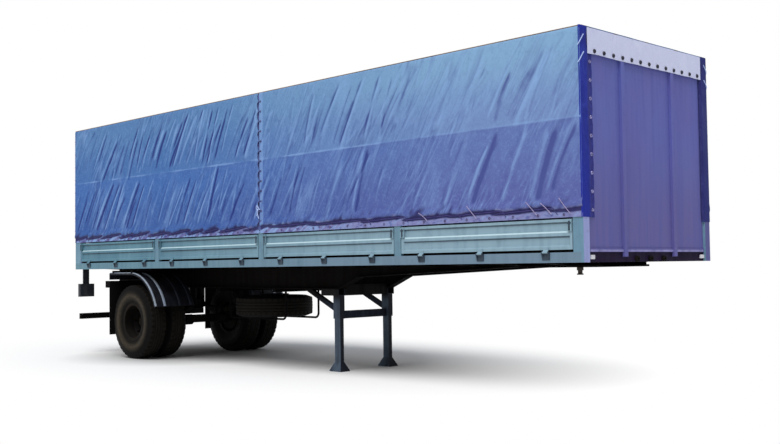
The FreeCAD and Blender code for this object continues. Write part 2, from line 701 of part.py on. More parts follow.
def rim():
    """Rim with its disc dished towards -Y."""
    half = RIM_WIDTH / 2
    edge = half + RIM_FLANGE
    inner = RIM_RADIUS - RIM_METAL
    barrel = turned([(RIM_FLANGE_RADIUS, -edge), (RIM_FLANGE_RADIUS, -half), (RIM_RADIUS, -half),
                     (RIM_RADIUS, half), (RIM_FLANGE_RADIUS, half), (RIM_FLANGE_RADIUS, edge),
                     (inner, edge), (inner, -edge)])
    back = -DISC_OFFSET + SEAT_GAP
    front = back + DISC_METAL
    ring = DISC_BORE + DISC_FLAT
    sunk = RIM_METAL / 2                # disc's outer edge inside the barrel's metal
    slant = 0.75 * DISC_METAL           # offset of the dish's two faces
    root = -DISC_ROOT - DISC_METAL
    disc = turned([(inner + sunk, -DISC_ROOT), (ring, front), (DISC_BORE, front),
                   (DISC_BORE, back), (ring + slant, back), (inner + sunk, root)])
    hole_circle = (ring + inner) / 2
    for i in range(HAND_HOLES):
        turn = 2 * math.pi * i / HAND_HOLES
        disc = disc.cut(rod_y(HAND_HOLE_RADIUS, back, 0, hole_circle * math.cos(turn),
                              hole_circle * math.sin(turn)))
    return union([barrel, disc])


def hub():
    """Hub and brake drum, y measured from the plane between the twin discs."""
    seat = DRUM_BACK + HUB_FLANGE
    flange = DISC_BORE + HUB_FLANGE_REACH
    pilot = DISC_BORE - HUB_PILOT_GAP
    bore = SPINDLE_RADIUS + SPINDLE_GAP
    inner_hub = SPINDLE_RADIUS + HUB_WALL
    drum_in = DRUM_RADIUS - DRUM_WALL
    drum_floor = DRUM_BACK - DRUM_WALL
    tail = DRUM_BACK - HUB_TAIL
    cap = [(share * HUB_RADIUS, y) for share, y in HUB_CAP]
    return turned([
        (bore, tail), (inner_hub, tail), (inner_hub, drum_floor), (drum_in, drum_floor),
        (drum_in, DRUM_MOUTH), (DRUM_RADIUS, DRUM_MOUTH), (DRUM_RADIUS, DRUM_BACK),
        (flange, DRUM_BACK), (flange, seat), (pilot, seat), (pilot, HUB_PILOT),
        (HUB_RADIUS, HUB_PILOT), (HUB_RADIUS, HUB_NOSE),
    ] + cap + [(0, cap[-1][1]), (0, HUB_BORE_END), (bore, HUB_BORE_END)])


def on_axle(shape, y):
    """A piece drawn about the Y axis, moved to the left wheels at y."""
    return shape.translated(V(X_AXLE, y, Z_AXLE))


def left_wheel_parts():
    """Tyres, rims and hub of the left twin wheels."""
    outer, inner = Y_TWIN + DISC_OFFSET, Y_TWIN - DISC_OFFSET
    plain_tyre, dished = tyre(), rim()
    flipped = left_copy(dished)
    return {
        "tyres": [on_axle(plain_tyre, outer), on_axle(plain_tyre, inner)],
        "rims": [on_axle(dished, outer), on_axle(flipped, inner)],
        "hub": [on_axle(hub(), Y_TWIN)],
    }


# ---- axle, springs and brakes ----
def axle_beam():
    half = AXLE_SIZE / 2
    y_end = Y_TWIN + SPINDLE_END
    pieces = [box(X_AXLE - half, X_AXLE + half, -Y_SHIELD, Y_SHIELD, Z_AXLE - half, Z_AXLE + half),
              rod_y(SPINDLE_RADIUS, -y_end, y_end, X_AXLE, Z_AXLE)]
    for y0 in (-Y_SHIELD, Y_SHIELD - CHANNEL_METAL):
        pieces.append(rod_y(DRUM_RADIUS, y0, y0 + CHANNEL_METAL, X_AXLE, Z_AXLE))
    return union(pieces)


def leaf(radius, half_length, z_centre):
    """One leaf as a band between two arcs about a centre above the axle."""
    def at(r, turn):
        return V(X_AXLE + r * math.sin(turn), 0, z_centre - r * math.cos(turn))
    inner = radius - LEAF_THICKNESS
    turn = math.asin(half_length / radius)
    edges = [
        Part.Arc(at(radius, -turn), at(radius, 0), at(radius, turn)).toShape(),
        Part.LineSegment(at(radius, turn), at(inner, turn)).toShape(),
        Part.Arc(at(inner, turn), at(inner, 0), at(inner, -turn)).toShape(),
        Part.LineSegment(at(inner, -turn), at(radius, -turn)).toShape(),
    ]
    face = Part.Face(Part.Wire(edges))
    face.translate(V(0, -MAIN_RAIL_Y - LEAF_WIDTH / 2, 0))
    return face.extrude(V(0, LEAF_WIDTH, 0))


def spring_base():
    return Z_AXLE + AXLE_SIZE / 2 + SPRING_SEAT


def leaf_spring():
    """The right spring: the longest leaf on top, a seat below."""
    z_base = spring_base()
    z_centre = z_base + SPRING_RADIUS
    half = AXLE_SIZE / 2
    y0, y1 = -MAIN_RAIL_Y - LEAF_WIDTH / 2, -MAIN_RAIL_Y + LEAF_WIDTH / 2
    pieces = [box(X_AXLE - half, X_AXLE + half, y0, y1, z_base - SPRING_SEAT,
                  z_base + LEAF_THICKNESS)]
    for i in range(LEAF_COUNT):
        half_length = SPRING_HALF - LEAF_STEP * (LEAF_COUNT - 1 - i)
        pieces.append(leaf(SPRING_RADIUS - i * LEAF_THICKNESS, half_length, z_centre))
    return union(pieces)


def spring_tip_z():
    """Height of the top leaf's highest edge."""
    outer = SPRING_RADIUS - (LEAF_COUNT - 1) * LEAF_THICKNESS
    inner = outer - LEAF_THICKNESS
    return spring_base() + SPRING_RADIUS - inner * math.sqrt(1 - (SPRING_HALF / outer) ** 2)


def spring_hanger(x):
    """A box bracket under the right main rail, with a shoe on the spring's end."""
    reach = HANGER_REACH
    z_shoe = spring_tip_z() + SOFT_GAP
    y_in = MAIN_RAIL_Y - LEAF_WIDTH / 2 - HANGER_SIDE_GAP
    y_out = MAIN_RAIL_Y + LEAF_WIDTH / 2 + HANGER_SIDE_GAP
    z_low = z_shoe - HANGER_DROP
    cheeks = [box(x - reach, x + reach, -y_out - HANGER_PLATE, -y_out, z_low, Z_MAIN),
              box(x - reach, x + reach, -y_in, -y_in + HANGER_PLATE, z_low, Z_MAIN)]
    shoe = box(x - reach, x + reach, -y_out, -y_in, z_shoe, z_shoe + HANGER_SHOE)
    plate = box(x - reach, x + reach, -MAIN_RAIL_OUT, -MAIN_RAIL_IN, Z_MAIN - HANGER_PLATE, Z_MAIN)
    return union(cheeks + [shoe, plate])


def brake_chamber():
    """On the axle's front face, with a rod to the dust shield."""
    face = X_AXLE + AXLE_SIZE / 2
    x = face + CHAMBER_REACH
    y0 = -(MAIN_RAIL_Y - LEAF_WIDTH / 2 - CHAMBER_TO_SPRING)
    y1 = y0 + CHAMBER_LENGTH
    y_mid = (y0 + y1) / 2
    wide, tall = CHAMBER_BRACKET
    return union([
        box(face, x, y_mid - wide / 2, y_mid + wide / 2, Z_AXLE - tall / 2, Z_AXLE + tall / 2),
        rod_y(CHAMBER_RADIUS, y0, y1, x, Z_AXLE),
        rod_y(PUSH_ROD_RADIUS, -Y_SHIELD + CHANNEL_METAL, y0, x, Z_AXLE),
    ])


# ---- mudguards and flaps ----
def guard_band(depth):
    """The guard's side outline: front arc, straight top and turned-down rear edge."""
    outer = TYRE_RADIUS + GUARD_CLEARANCE + GUARD_METAL
    inner = outer - depth
    low = math.radians(GUARD_FRONT_ANGLE)
    middle = (low + math.pi / 2) / 2
    rear = X_AXLE - GUARD_REAR

    def at(r, turn):
        return V(X_AXLE + r * math.cos(turn), 0, Z_AXLE + r * math.sin(turn))

    top_out, top_in = Z_AXLE + outer, Z_AXLE + inner
    corners = [V(rear, 0, top_out), V(rear, 0, top_out - GUARD_TAIL),
               V(rear + depth, 0, top_out - GUARD_TAIL), V(rear + depth, 0, top_in)]
    edges = [
        Part.Arc(at(outer, low), at(outer, middle), at(outer, math.pi / 2)).toShape(),
        Part.LineSegment(at(outer, math.pi / 2), corners[0]).toShape(),
        Part.LineSegment(corners[0], corners[1]).toShape(),
        Part.LineSegment(corners[1], corners[2]).toShape(),
        Part.LineSegment(corners[2], corners[3]).toShape(),
        Part.LineSegment(corners[3], at(inner, math.pi / 2)).toShape(),
        Part.Arc(at(inner, math.pi / 2), at(inner, middle), at(inner, low)).toShape(),
        Part.LineSegment(at(inner, low), at(outer, low)).toShape(),
    ]
    return Part.Face(Part.Wire(edges))


def mudguard():
    """A sheet over the right wheels with a lip along each edge."""
    y0, y1 = -GUARD_OUTER_Y, -GUARD_INNER_Y
    sheet = guard_band(GUARD_METAL).translated(V(0, y0, 0)).extrude(V(0, y1 - y0, 0))
    lips = []
    for y in (y0, y1 - GUARD_METAL):
        lips.append(guard_band(GUARD_LIP).translated(V(0, y, 0)).extrude(V(0, GUARD_METAL, 0)))
    return union([sheet] + lips)


def guard_bars():
    """Bars over the right guard and the flap's carrier, from the main rail's web."""
    z = Z_GUARD + GUARD_METAL
    y_web = -MAIN_RAIL_Y - MAIN_RAIL_WEB / 2
    x_flap = X_AXLE - GUARD_REAR
    z_flap = Z_MAIN + MAIN_RAIL_METAL
    bars = [box(X_AXLE + x, X_AXLE + x + GUARD_BAR, -GUARD_OUTER_Y, y_web, z, z + GUARD_BAR)
            for x in GUARD_BARS]
    carrier = box(x_flap - FLAP_BAR[0], x_flap, -GUARD_OUTER_Y, y_web, z_flap,
                  z_flap + FLAP_BAR[1])
    return bars + [carrier]


def mud_flap():
    x = X_AXLE - GUARD_REAR
    z_top = Z_GUARD + GUARD_METAL - GUARD_TAIL - FLAP_TO_GUARD
    return box(x, x + FLAP_METAL, -GUARD_OUTER_Y, -GUARD_INNER_Y - FLAP_INSET, FLAP_BOTTOM,
               z_top)


# ---- rear end ----
def underrun_bar():
    """A bar across the rear on two stays from the main rails."""
    x = X_REAR + UNDERRUN_FROM_REAR
    y = WIDTH / 2 - UNDERRUN_INSET
    z0, z1 = UNDERRUN_Z
    pieces = [box(x, x + UNDERRUN_DEPTH, -y, y, z0, z1)]
    for side in (-1, 1):
        y_mid = side * MAIN_RAIL_Y
        pieces.append(box(x, x + UNDERRUN_DEPTH, y_mid - STAY_WIDTH / 2, y_mid + STAY_WIDTH / 2,
                          z1, Z_MAIN))
    return union(pieces)


def tail_lamp():
    """A lamp box on a stem under the rear beam."""
    x = X_REAR + LAMP_FROM_REAR
    y = -WIDTH / 2 + LAMP_Y_INSET
    depth, width, height = LAMP_BOX
    stem_depth, stem_width, stem_height = LAMP_STEM
    x_stem = x + LAMP_STEM_INSET
    z = Z_SIDE_RAIL - stem_height
    return union([
        box(x, x + depth, y - width / 2, y + width / 2, z - height, z),
        box(x_stem, x_stem + stem_depth, y - stem_width / 2, y + stem_width / 2, z, Z_SIDE_RAIL),
    ])


# ---- legs ----
def landing_leg():
    """The right leg: bracket under the main rail, outer and inner tube, foot."""
    z_outer = CROSS_BAR_Z[0]
    x0, x1 = X_LEG - LEG_BRACKET_REACH, X_NECK_REAR
    y_out, y_in = -MAIN_RAIL_OUT, -MAIN_RAIL_IN

    def tube(size, z0, z1):
        return box(X_LEG - size[0] / 2, X_LEG + size[0] / 2, -LEG_Y - size[1] / 2,
                   -LEG_Y + size[1] / 2, z0, z1)

    def ring(size, z):
        a, b = size[0] / 2, size[1] / 2
        corners = [V(X_LEG + i * a, -LEG_Y + j * b, z)
                   for i, j in ((-1, -1), (1, -1), (1, 1), (-1, 1))]
        return Part.makePolygon(corners + corners[:1])

    foot = Part.makeLoft([ring(LEG_FOOT, FOOT_PLATE), ring(LEG_INNER, FOOT_HEIGHT)], True, True)
    return union([
        tube(LEG_FOOT, 0, FOOT_PLATE),
        foot,
        tube(LEG_INNER, FOOT_HEIGHT, z_outer),
        tube(LEG_OUTER, z_outer, Z_LEG_TOP),
        box(x0, x1, y_out, y_in, Z_LEG_TOP, Z_LEG_TOP + BRACKET_METAL),
        box(x0, x1, y_out, y_out + BRACKET_METAL, Z_LEG_TOP, Z_MAIN),
        box(x0, x1, y_in - BRACKET_METAL, y_in, Z_LEG_TOP, Z_MAIN),
    ])


def leg_bracing():
    """Bar and beam between the legs, and a brace behind each."""
    y_leg = LEG_Y - LEG_OUTER[1] / 2
    half = CROSS_BAR_THICKNESS / 2
    beam = LEG_BEAM_THICKNESS / 2
    pieces = [
        box(X_LEG - half, X_LEG + half, -y_leg, y_leg, CROSS_BAR_Z[0], CROSS_BAR_Z[1]),
        box(X_LEG - beam, X_LEG + beam, -MAIN_RAIL_IN, MAIN_RAIL_IN, Z_LEG_TOP,
            Z_LEG_TOP + LEG_BEAM_HEIGHT),
    ]
    x = X_LEG - LEG_OUTER[0] / 2
    z_low, z_high = BRACE_FOOT_Z - BRACE_DEPTH / 2, BRACE_FOOT_Z + BRACE_DEPTH / 2
    brace = [(x, z_low), (x, z_high), (x - (Z_MAIN - z_high) / BRACE_SLOPE, Z_MAIN),
             (x - (Z_MAIN - z_low) / BRACE_SLOPE, Z_MAIN)]
    return pieces + pair(prism_y(brace, -LEG_Y - BRACE_WIDTH / 2, -LEG_Y + BRACE_WIDTH / 2))


# ---- spare wheel, cradle and air tank ----
def spare(shape, half_width):
    """A wheel piece laid flat on the cradle, its dish upwards."""
    laid = shape.copy()
    laid.rotate(V(0, 0, 0), V(1, 0, 0), -90)
    z = CRADLE_Z + CRADLE_ROD + SEAT_GAP + half_width
    laid.translate(V(X_REAR + SPARE_FROM_REAR, 0, z))
    return laid


def cradle_rod(y):
    """A round rod from one cross beam, down under the wheel and up to the other."""
    x0 = X_REAR + CRADLE_REAR_FROM_REAR
    x1 = X_REAR + CRADLE_FRONT_FROM_REAR
    bend = CRADLE_BEND
    cut = bend * (1 - math.sqrt(0.5))
    top = Z_CRADLE_BEAM
    low = CRADLE_Z
    edges = [
        Part.LineSegment(V(x0, y, top), V(x0, y, low + bend)).toShape(),
        Part.Arc(V(x0, y, low + bend), V(x0 + cut, y, low + cut), V(x0 + bend, y, low)).toShape(),
        Part.LineSegment(V(x0 + bend, y, low), V(x1 - bend, y, low)).toShape(),
        Part.Arc(V(x1 - bend, y, low), V(x1 - cut, y, low + cut), V(x1, y, low + bend)).toShape(),
        Part.LineSegment(V(x1, y, low + bend), V(x1, y, top)).toShape(),
    ]
    section = Part.Wire(Part.makeCircle(CRADLE_ROD, V(x0, y, top), V(0, 0, 1)))
    return Part.Wire(edges).makePipeShell([section], True, True)


def spare_carrier():
    """Two rods and the two cross beams that they hang from."""
    pieces = [cradle_rod(-CRADLE_Y), cradle_rod(CRADLE_Y)]
    for x in (X_REAR + CRADLE_REAR_FROM_REAR, X_REAR + CRADLE_FRONT_FROM_REAR):
        half = CRADLE_BEAM[0] / 2
        pieces.append(box(x - half, x + half, -MAIN_RAIL_OUT, MAIN_RAIL_OUT, Z_CRADLE_BEAM,
                          Z_MAIN))
    return union(pieces)


def air_tank():
    """A round tank across the frame, hung by two straps from its nearest cross member."""
    x = X_REAR + TANK_FROM_REAR
    nearest = min(cross_stations(), key=lambda s: abs(s + CROSS_WIDTH / 2 - x))
    x = nearest + CROSS_WIDTH / 2
    pieces = [rod_y(TANK_RADIUS, -TANK_HALF, TANK_HALF, x, TANK_Z)]
    for y in (-TANK_STRAP_Y, TANK_STRAP_Y):
        pieces.append(box(x - TANK_STRAP[0] / 2, x + TANK_STRAP[0] / 2, y - TANK_STRAP[1] / 2,
                          y + TANK_STRAP[1] / 2, TANK_Z, Z_FRAME - CROSS_HEIGHT))
    return union(pieces)


def front_couplings():
    """Two air couplings and a socket on the front beam."""
    z = (Z_SIDE_RAIL + Z_DECK) / 2 - COUPLING_DROP
    pieces = []
    for _, y in COUPLINGS:
        body = rod_x(COUPLING_RADIUS, X_WALL, X_WALL + COUPLING_LENGTH, y, z)
        bore = rod_x(COUPLING_BORE, X_WALL + COUPLING_LENGTH - COUPLING_DEPTH,
                     X_WALL + COUPLING_LENGTH, y, z)
        pieces.append(body.cut(bore))
    return pieces


# ---- all nodes ----
def nodes():
    stations = cross_stations()
    outriggers = [outrigger(x) for x in stations]
    plain_tyre = tyre()
    half_tyre = plain_tyre.optimalBoundingBox(False, False).YMax
    made = {
        "cross_members": [cross_member(x) for x in stations],
        "outriggers": outriggers + [left_copy(s) for s in outriggers],
        "side_rails": pair(side_rail()),
        "front_beam": [end_beam(X_WALL, X_BEAM_FRONT)],
        "rear_beam": [end_beam(X_TAIL_FACE, X_BEAM_REAR)],
        "deck_boards": deck_planks(),
        "coupler_plate": [coupler_plate()],
        "kingpin": [kingpin()],
        "front_wall": [front_wall()],
        "corner_posts": pair(front_corner_post()) + pair(rear_corner_post()),
        "roof_bows": roof_bows(),
        "roof_battens": roof_battens(),
        "tilt_roof": [tilt_roof()],
        "tilt_rear_curtain": [tilt_rear()],
        "tilt_front_flap": [front_flap()],
        "tilt_corner_wraps": pair(corner_wrap()),
        "hinge_brackets": hinge_brackets(),
        "tailgate": [tailgate()],
        "axle_beam": [axle_beam()],
        "leaf_springs": pair(leaf_spring()),
        "brake_chambers": pair(brake_chamber()),
        "mudguard_bars": [b for bar in guard_bars() for b in pair(bar)],
        "mud_flaps": pair(mud_flap()),
        "underrun_bar": [underrun_bar()],
        "tail_lamps": pair(tail_lamp()),
        "leg_bracing": leg_bracing(),
        "spare_tyre": [spare(plain_tyre, half_tyre)],
        "spare_rim": [spare(rim(), half_tyre)],
        "spare_carrier": [spare_carrier()],
        "air_tank": [air_tank()],
        "front_couplings": front_couplings(),
    }
    for name, length in main_rail_lengths().items():
        made[name] = pair(length)
    made["side_posts"] = [p for x in side_post_places() for p in pair(side_post(x))]
    tip = SPRING_HALF - HANGER_TIP
    made["spring_hangers"] = [h for x in (X_AXLE - tip, X_AXLE + tip) for h in pair(spring_hanger(x))]

    sided = {"mudguard": mudguard(), "landing_leg": landing_leg()}
    halves = (("front", 0, X_FRONT - CLOTH), ("rear", X_TAIL_CLOTH, 0))
    for name, x0, x1 in halves:
        sided["tilt_" + name] = tilt_side(x0, x1)
    for number, (x0, x1) in enumerate(side_bays(), 1):
        sided["side_board_%d" % number] = drop_board(x0, x1, -Y_FACE, -Y_HINGE,
                                                     hinge_places(x0, x1))
    for name, shape in sided.items():
        made["right_" + name] = [shape]
        made["left_" + name] = [left_copy(shape)]
    for name, shapes in left_wheel_parts().items():
        made["left_" + name] = shapes
        made["right_" + name] = [left_copy(s) for s in shapes]
    return made


def main():
    os.makedirs("parts", exist_ok=True)
    for name, shapes in nodes().items():
        shape = shapes[0] if len(shapes) == 1 else Part.makeCompound(shapes)
        shape.exportStep("parts/%s.step" % name)
        print(name, len(shape.Solids), round(shape.Volume / 1e9, 5), shape.isValid())


main()
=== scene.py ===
"""Looks of the tilt semi-trailer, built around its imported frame. Metres, +X forward, +Z up."""

import math

import bmesh
import bpy
import numpy as np
from mathutils import Matrix, Vector


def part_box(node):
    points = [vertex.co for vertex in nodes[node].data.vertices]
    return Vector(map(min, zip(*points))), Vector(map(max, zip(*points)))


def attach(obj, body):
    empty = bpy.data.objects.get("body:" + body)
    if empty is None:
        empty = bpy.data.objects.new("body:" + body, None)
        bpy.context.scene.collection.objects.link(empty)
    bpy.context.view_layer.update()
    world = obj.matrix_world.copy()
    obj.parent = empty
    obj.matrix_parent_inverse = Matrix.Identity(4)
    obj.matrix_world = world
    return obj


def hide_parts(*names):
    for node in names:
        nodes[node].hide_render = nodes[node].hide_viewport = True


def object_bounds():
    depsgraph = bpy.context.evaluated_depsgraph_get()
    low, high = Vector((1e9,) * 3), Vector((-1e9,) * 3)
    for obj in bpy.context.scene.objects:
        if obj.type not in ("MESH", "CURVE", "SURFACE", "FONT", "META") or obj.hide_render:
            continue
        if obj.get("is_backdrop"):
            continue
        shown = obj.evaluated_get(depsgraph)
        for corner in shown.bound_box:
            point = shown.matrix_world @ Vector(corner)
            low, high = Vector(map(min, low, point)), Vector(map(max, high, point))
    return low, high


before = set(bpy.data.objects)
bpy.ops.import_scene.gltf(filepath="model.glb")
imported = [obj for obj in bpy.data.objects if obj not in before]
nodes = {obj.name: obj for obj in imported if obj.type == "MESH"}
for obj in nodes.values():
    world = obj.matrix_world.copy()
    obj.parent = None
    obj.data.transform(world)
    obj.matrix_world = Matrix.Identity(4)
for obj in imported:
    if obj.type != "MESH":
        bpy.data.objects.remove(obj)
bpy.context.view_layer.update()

# ---- places read from the frame ----
side_low, side_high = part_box("right_tilt_front")
curtain_low, curtain_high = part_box("tilt_rear_curtain")
flap_low, flap_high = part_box("tilt_front_flap")
wall_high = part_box("front_wall")[1]
post_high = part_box("corner_posts")[1]
tyre_low, tyre_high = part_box("left_tyres")

Y_CLOTH = -side_high.y              # inner face of the side cloth
Z_HEM = side_low.z
Z_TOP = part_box("tilt_roof")[1].z
TILT = Z_TOP - Z_HEM
X_FRONT = side_high.x
X_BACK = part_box("right_tilt_rear")[0].x
Z_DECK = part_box("deck_boards")[1].z
X_AXLE = (tyre_low.x + tyre_high.x) / 2
Z_AXLE = (tyre_low.z + tyre_high.z) / 2
TYRE_RADIUS = (tyre_high.z - tyre_low.z) / 2
Z_SEAM = Z_TOP - 0.48 * TILT        # the welded seam along each side
CREASE_LENGTH = 7                   # how much longer than wide the fine creases are
LEAN = 0.62                         # metres forward for each metre up, along a crease
SIDES = ((-1, "right"), (1, "left"))


def srgb(r, g, b):
    """A colour as it looks on screen, 0 to 255, made linear."""
    def channel(v):
        v /= 255
        return v / 12.92 if v <= 0.04045 else ((v + 0.055) / 1.055) ** 2.4
    return channel(r), channel(g), channel(b), 1.0


# ---- materials ----
class Nodes:
    """A node tree built by hand, with short ways to make its nodes."""

    def __init__(self, owner):
        owner.use_nodes = True
        self.tree = owner.node_tree
        self.tree.nodes.clear()

    def put(self, socket, value):
        if isinstance(value, bpy.types.NodeSocket):
            self.tree.links.new(value, socket)
        else:
            socket.default_value = value

    def add(self, kind, inputs, **settings):
        """A node with its settings. inputs holds numbers, or other nodes' outputs to link."""
        made = self.tree.nodes.new(kind)
        for key, value in settings.items():
            setattr(made, key, value)
        for key, value in inputs.items():
            self.put(made.inputs[key], value)
        return made

    def math(self, operation, a, b=0.0):
        return self.add("ShaderNodeMath", {0: a, 1: b}, operation=operation).outputs[0]

    def remap(self, value, low, high, to_low=0.0, to_high=1.0, kind="SMOOTHSTEP"):
        inputs = {"Value": value, "From Min": low, "From Max": high, "To Min": to_low, "To Max": to_high}
        return self.add("ShaderNodeMapRange", inputs, interpolation_type=kind).outputs[0]

    def distance(self, place, stretch, centre):
        """How far a stretched place is from centre."""
        scaled = self.add("ShaderNodeVectorMath", {0: place, 1: stretch}, operation="MULTIPLY").outputs[0]
        return self.add("ShaderNodeVectorMath", {0: scaled, 1: centre}, operation="DISTANCE").outputs["Value"]

    def blend(self, share, first, second, out):
        """The whole tree's result: first, and second where share is 1."""
        mixed = self.add("ShaderNodeMixShader", {0: share, 1: first.outputs[0], 2: second.outputs[0]})
        self.add(out, {0: mixed.outputs[0]})


class Shader(Nodes):
    """A Principled material. Patterns run in object space, in metres."""

    def __init__(self, name, **constants):
        self.material = bpy.data.materials.new(name)
        super().__init__(self.material)
        self.bsdf = self.add("ShaderNodeBsdfPrincipled",
                             {key.replace("_", " "): value for key, value in constants.items()})
        self.add("ShaderNodeOutputMaterial", {0: self.bsdf.outputs[0]})
        self.coords = self.add("ShaderNodeTexCoord", {}).outputs["Object"]

    def noise(self, scale, detail=3.0, stretch=None, rough=0.5):
        place = self.coords
        if stretch:
            place = self.add("ShaderNodeMapping", {"Vector": place, "Scale": stretch}).outputs[0]
        return self.add("ShaderNodeTexNoise", {"Vector": place, "Scale": scale, "Detail": detail,
                                               "Roughness": rough}).outputs[0]

    def crease(self, scale, level, width, lean):
        """Long thin lines, 0 to 1, that lean forward with height by that many metres a metre."""
        turned = self.add("ShaderNodeMapping", {"Vector": self.coords, "Rotation": (0, math.atan(lean), 0),
                                                "Scale": (1, 1, CREASE_LENGTH)}, vector_type="TEXTURE")
        lines = self.add("ShaderNodeTexNoise", {"Vector": turned.outputs[0], "Scale": scale, "Detail": 1.5,
                                                "Distortion": 0.15})
        off = self.math("ABSOLUTE", self.math("SUBTRACT", lines.outputs[0], level))
        return self.remap(off, 0.0, width, 1.0, 0.0)

    def wave(self, scale, direction, distortion=0.0):
        inputs = {"Vector": self.coords, "Scale": scale, "Distortion": distortion}
        return self.add("ShaderNodeTexWave", inputs, bands_direction=direction).outputs["Fac"]

    def attribute(self, name):
        return self.add("ShaderNodeAttribute", {}, attribute_name=name).outputs["Fac"]

    def axis(self, letter):
        return self.add("ShaderNodeSeparateXYZ", {0: self.coords}).outputs[letter]

    def mix(self, a, b, share):
        made = self.add("ShaderNodeMix", {"Factor": share}, data_type="RGBA")
        first, second = [socket for socket in made.inputs if socket.type == "RGBA"]
        self.put(first, a)
        self.put(second, b)
        return next(socket for socket in made.outputs if socket.type == "RGBA")

    def over(self, a, b, value, low, high, share=1.0):
        """Colour b laid over a, from none of it where value is low to share of it where value is high."""
        return self.mix(a, b, self.remap(value, low, high, 0.0, share))

    def bump(self, height, strength, distance):
        """Relief that is laid over any relief added before it."""
        made = self.add("ShaderNodeBump", {"Height": height, "Strength": strength, "Distance": distance})
        below = self.bsdf.inputs["Normal"].links
        if below:
            self.put(made.inputs["Normal"], below[0].from_socket)
        self.put(self.bsdf.inputs["Normal"], made.outputs[0])

    def finish(self, colour, roughness):
        self.put(self.bsdf.inputs["Base Color"], colour)
        self.put(self.bsdf.inputs["Roughness"], roughness)
        return self.material


def painted(name, colour, worn, dust, rough=0.42, dusty=0.35, chipped=0.25, clouds=2.0, sheen=0.3,
            fade=None, ledge_shading=0.0, forward_face_shading=None):
    """Brushed or sprayed paint: clouds of fading, run marks, road dust and small chips.

    fade is (axis, from, to, colour, share) of a slow change. ledge_shading is how much painted highlight lies
    on faces that look up and painted shade on faces that look down. forward_face_shading holds the colours
    of the faces that look forward, on the right and on the left, which are painted light and shade.
    """
    s = Shader(name, Specular_IOR_Level=sheen)
    cloud = s.noise(clouds, 5)
    streak = s.noise(14, 4, stretch=(1, 1, 0.07))
    grain = s.noise(55, 4)
    tone = s.over(colour, worn, cloud, 0.34, 0.68)
    if fade:
        letter, low, high, second, share = fade
        tone = s.over(tone, second, s.axis(letter), low, high, share)
    normal = s.add("ShaderNodeSeparateXYZ", {0: s.add("ShaderNodeNewGeometry", {}).outputs["Normal"]})
    # painted light and shade: faces that look forward take their own colours
    if forward_face_shading:
        forward_tone = s.mix(*forward_face_shading, s.remap(s.axis("Y"), -0.5, 0.5))
        tone = s.over(tone, forward_tone, normal.outputs["X"], 0.3, 0.7)
    tone = s.over(tone, dust, streak, 0.42, 0.78, dusty)
    tone = s.over(tone, dust, s.noise(7, 6, rough=0.65), 0.5, 0.75, dusty)
    # painted highlight on faces that look up, above the foot of the boards, and painted shade on faces that
    # look down
    if ledge_shading:
        painted_top_light = s.math("MULTIPLY", s.remap(normal.outputs["Z"], 0.2, 0.7, 0.0, ledge_shading),
                        s.remap(s.axis("Z"), Z_DECK + 0.09, Z_DECK + 0.14))
        tone = s.mix(tone, srgb(190, 214, 220), painted_top_light)
        tone = s.over(tone, srgb(44, 56, 66), normal.outputs["Z"], -0.2, -0.7, ledge_shading)
    tone = s.over(tone, srgb(70, 62, 58), grain, 0.68, 0.71, chipped)
    s.bump(grain, 0.12, 0.0012)
    s.bump(s.noise(380, 2), 0.10, 0.0004)
    return s.finish(tone, s.remap(streak, 0.3, 0.8, rough - 0.08, rough + 0.22))


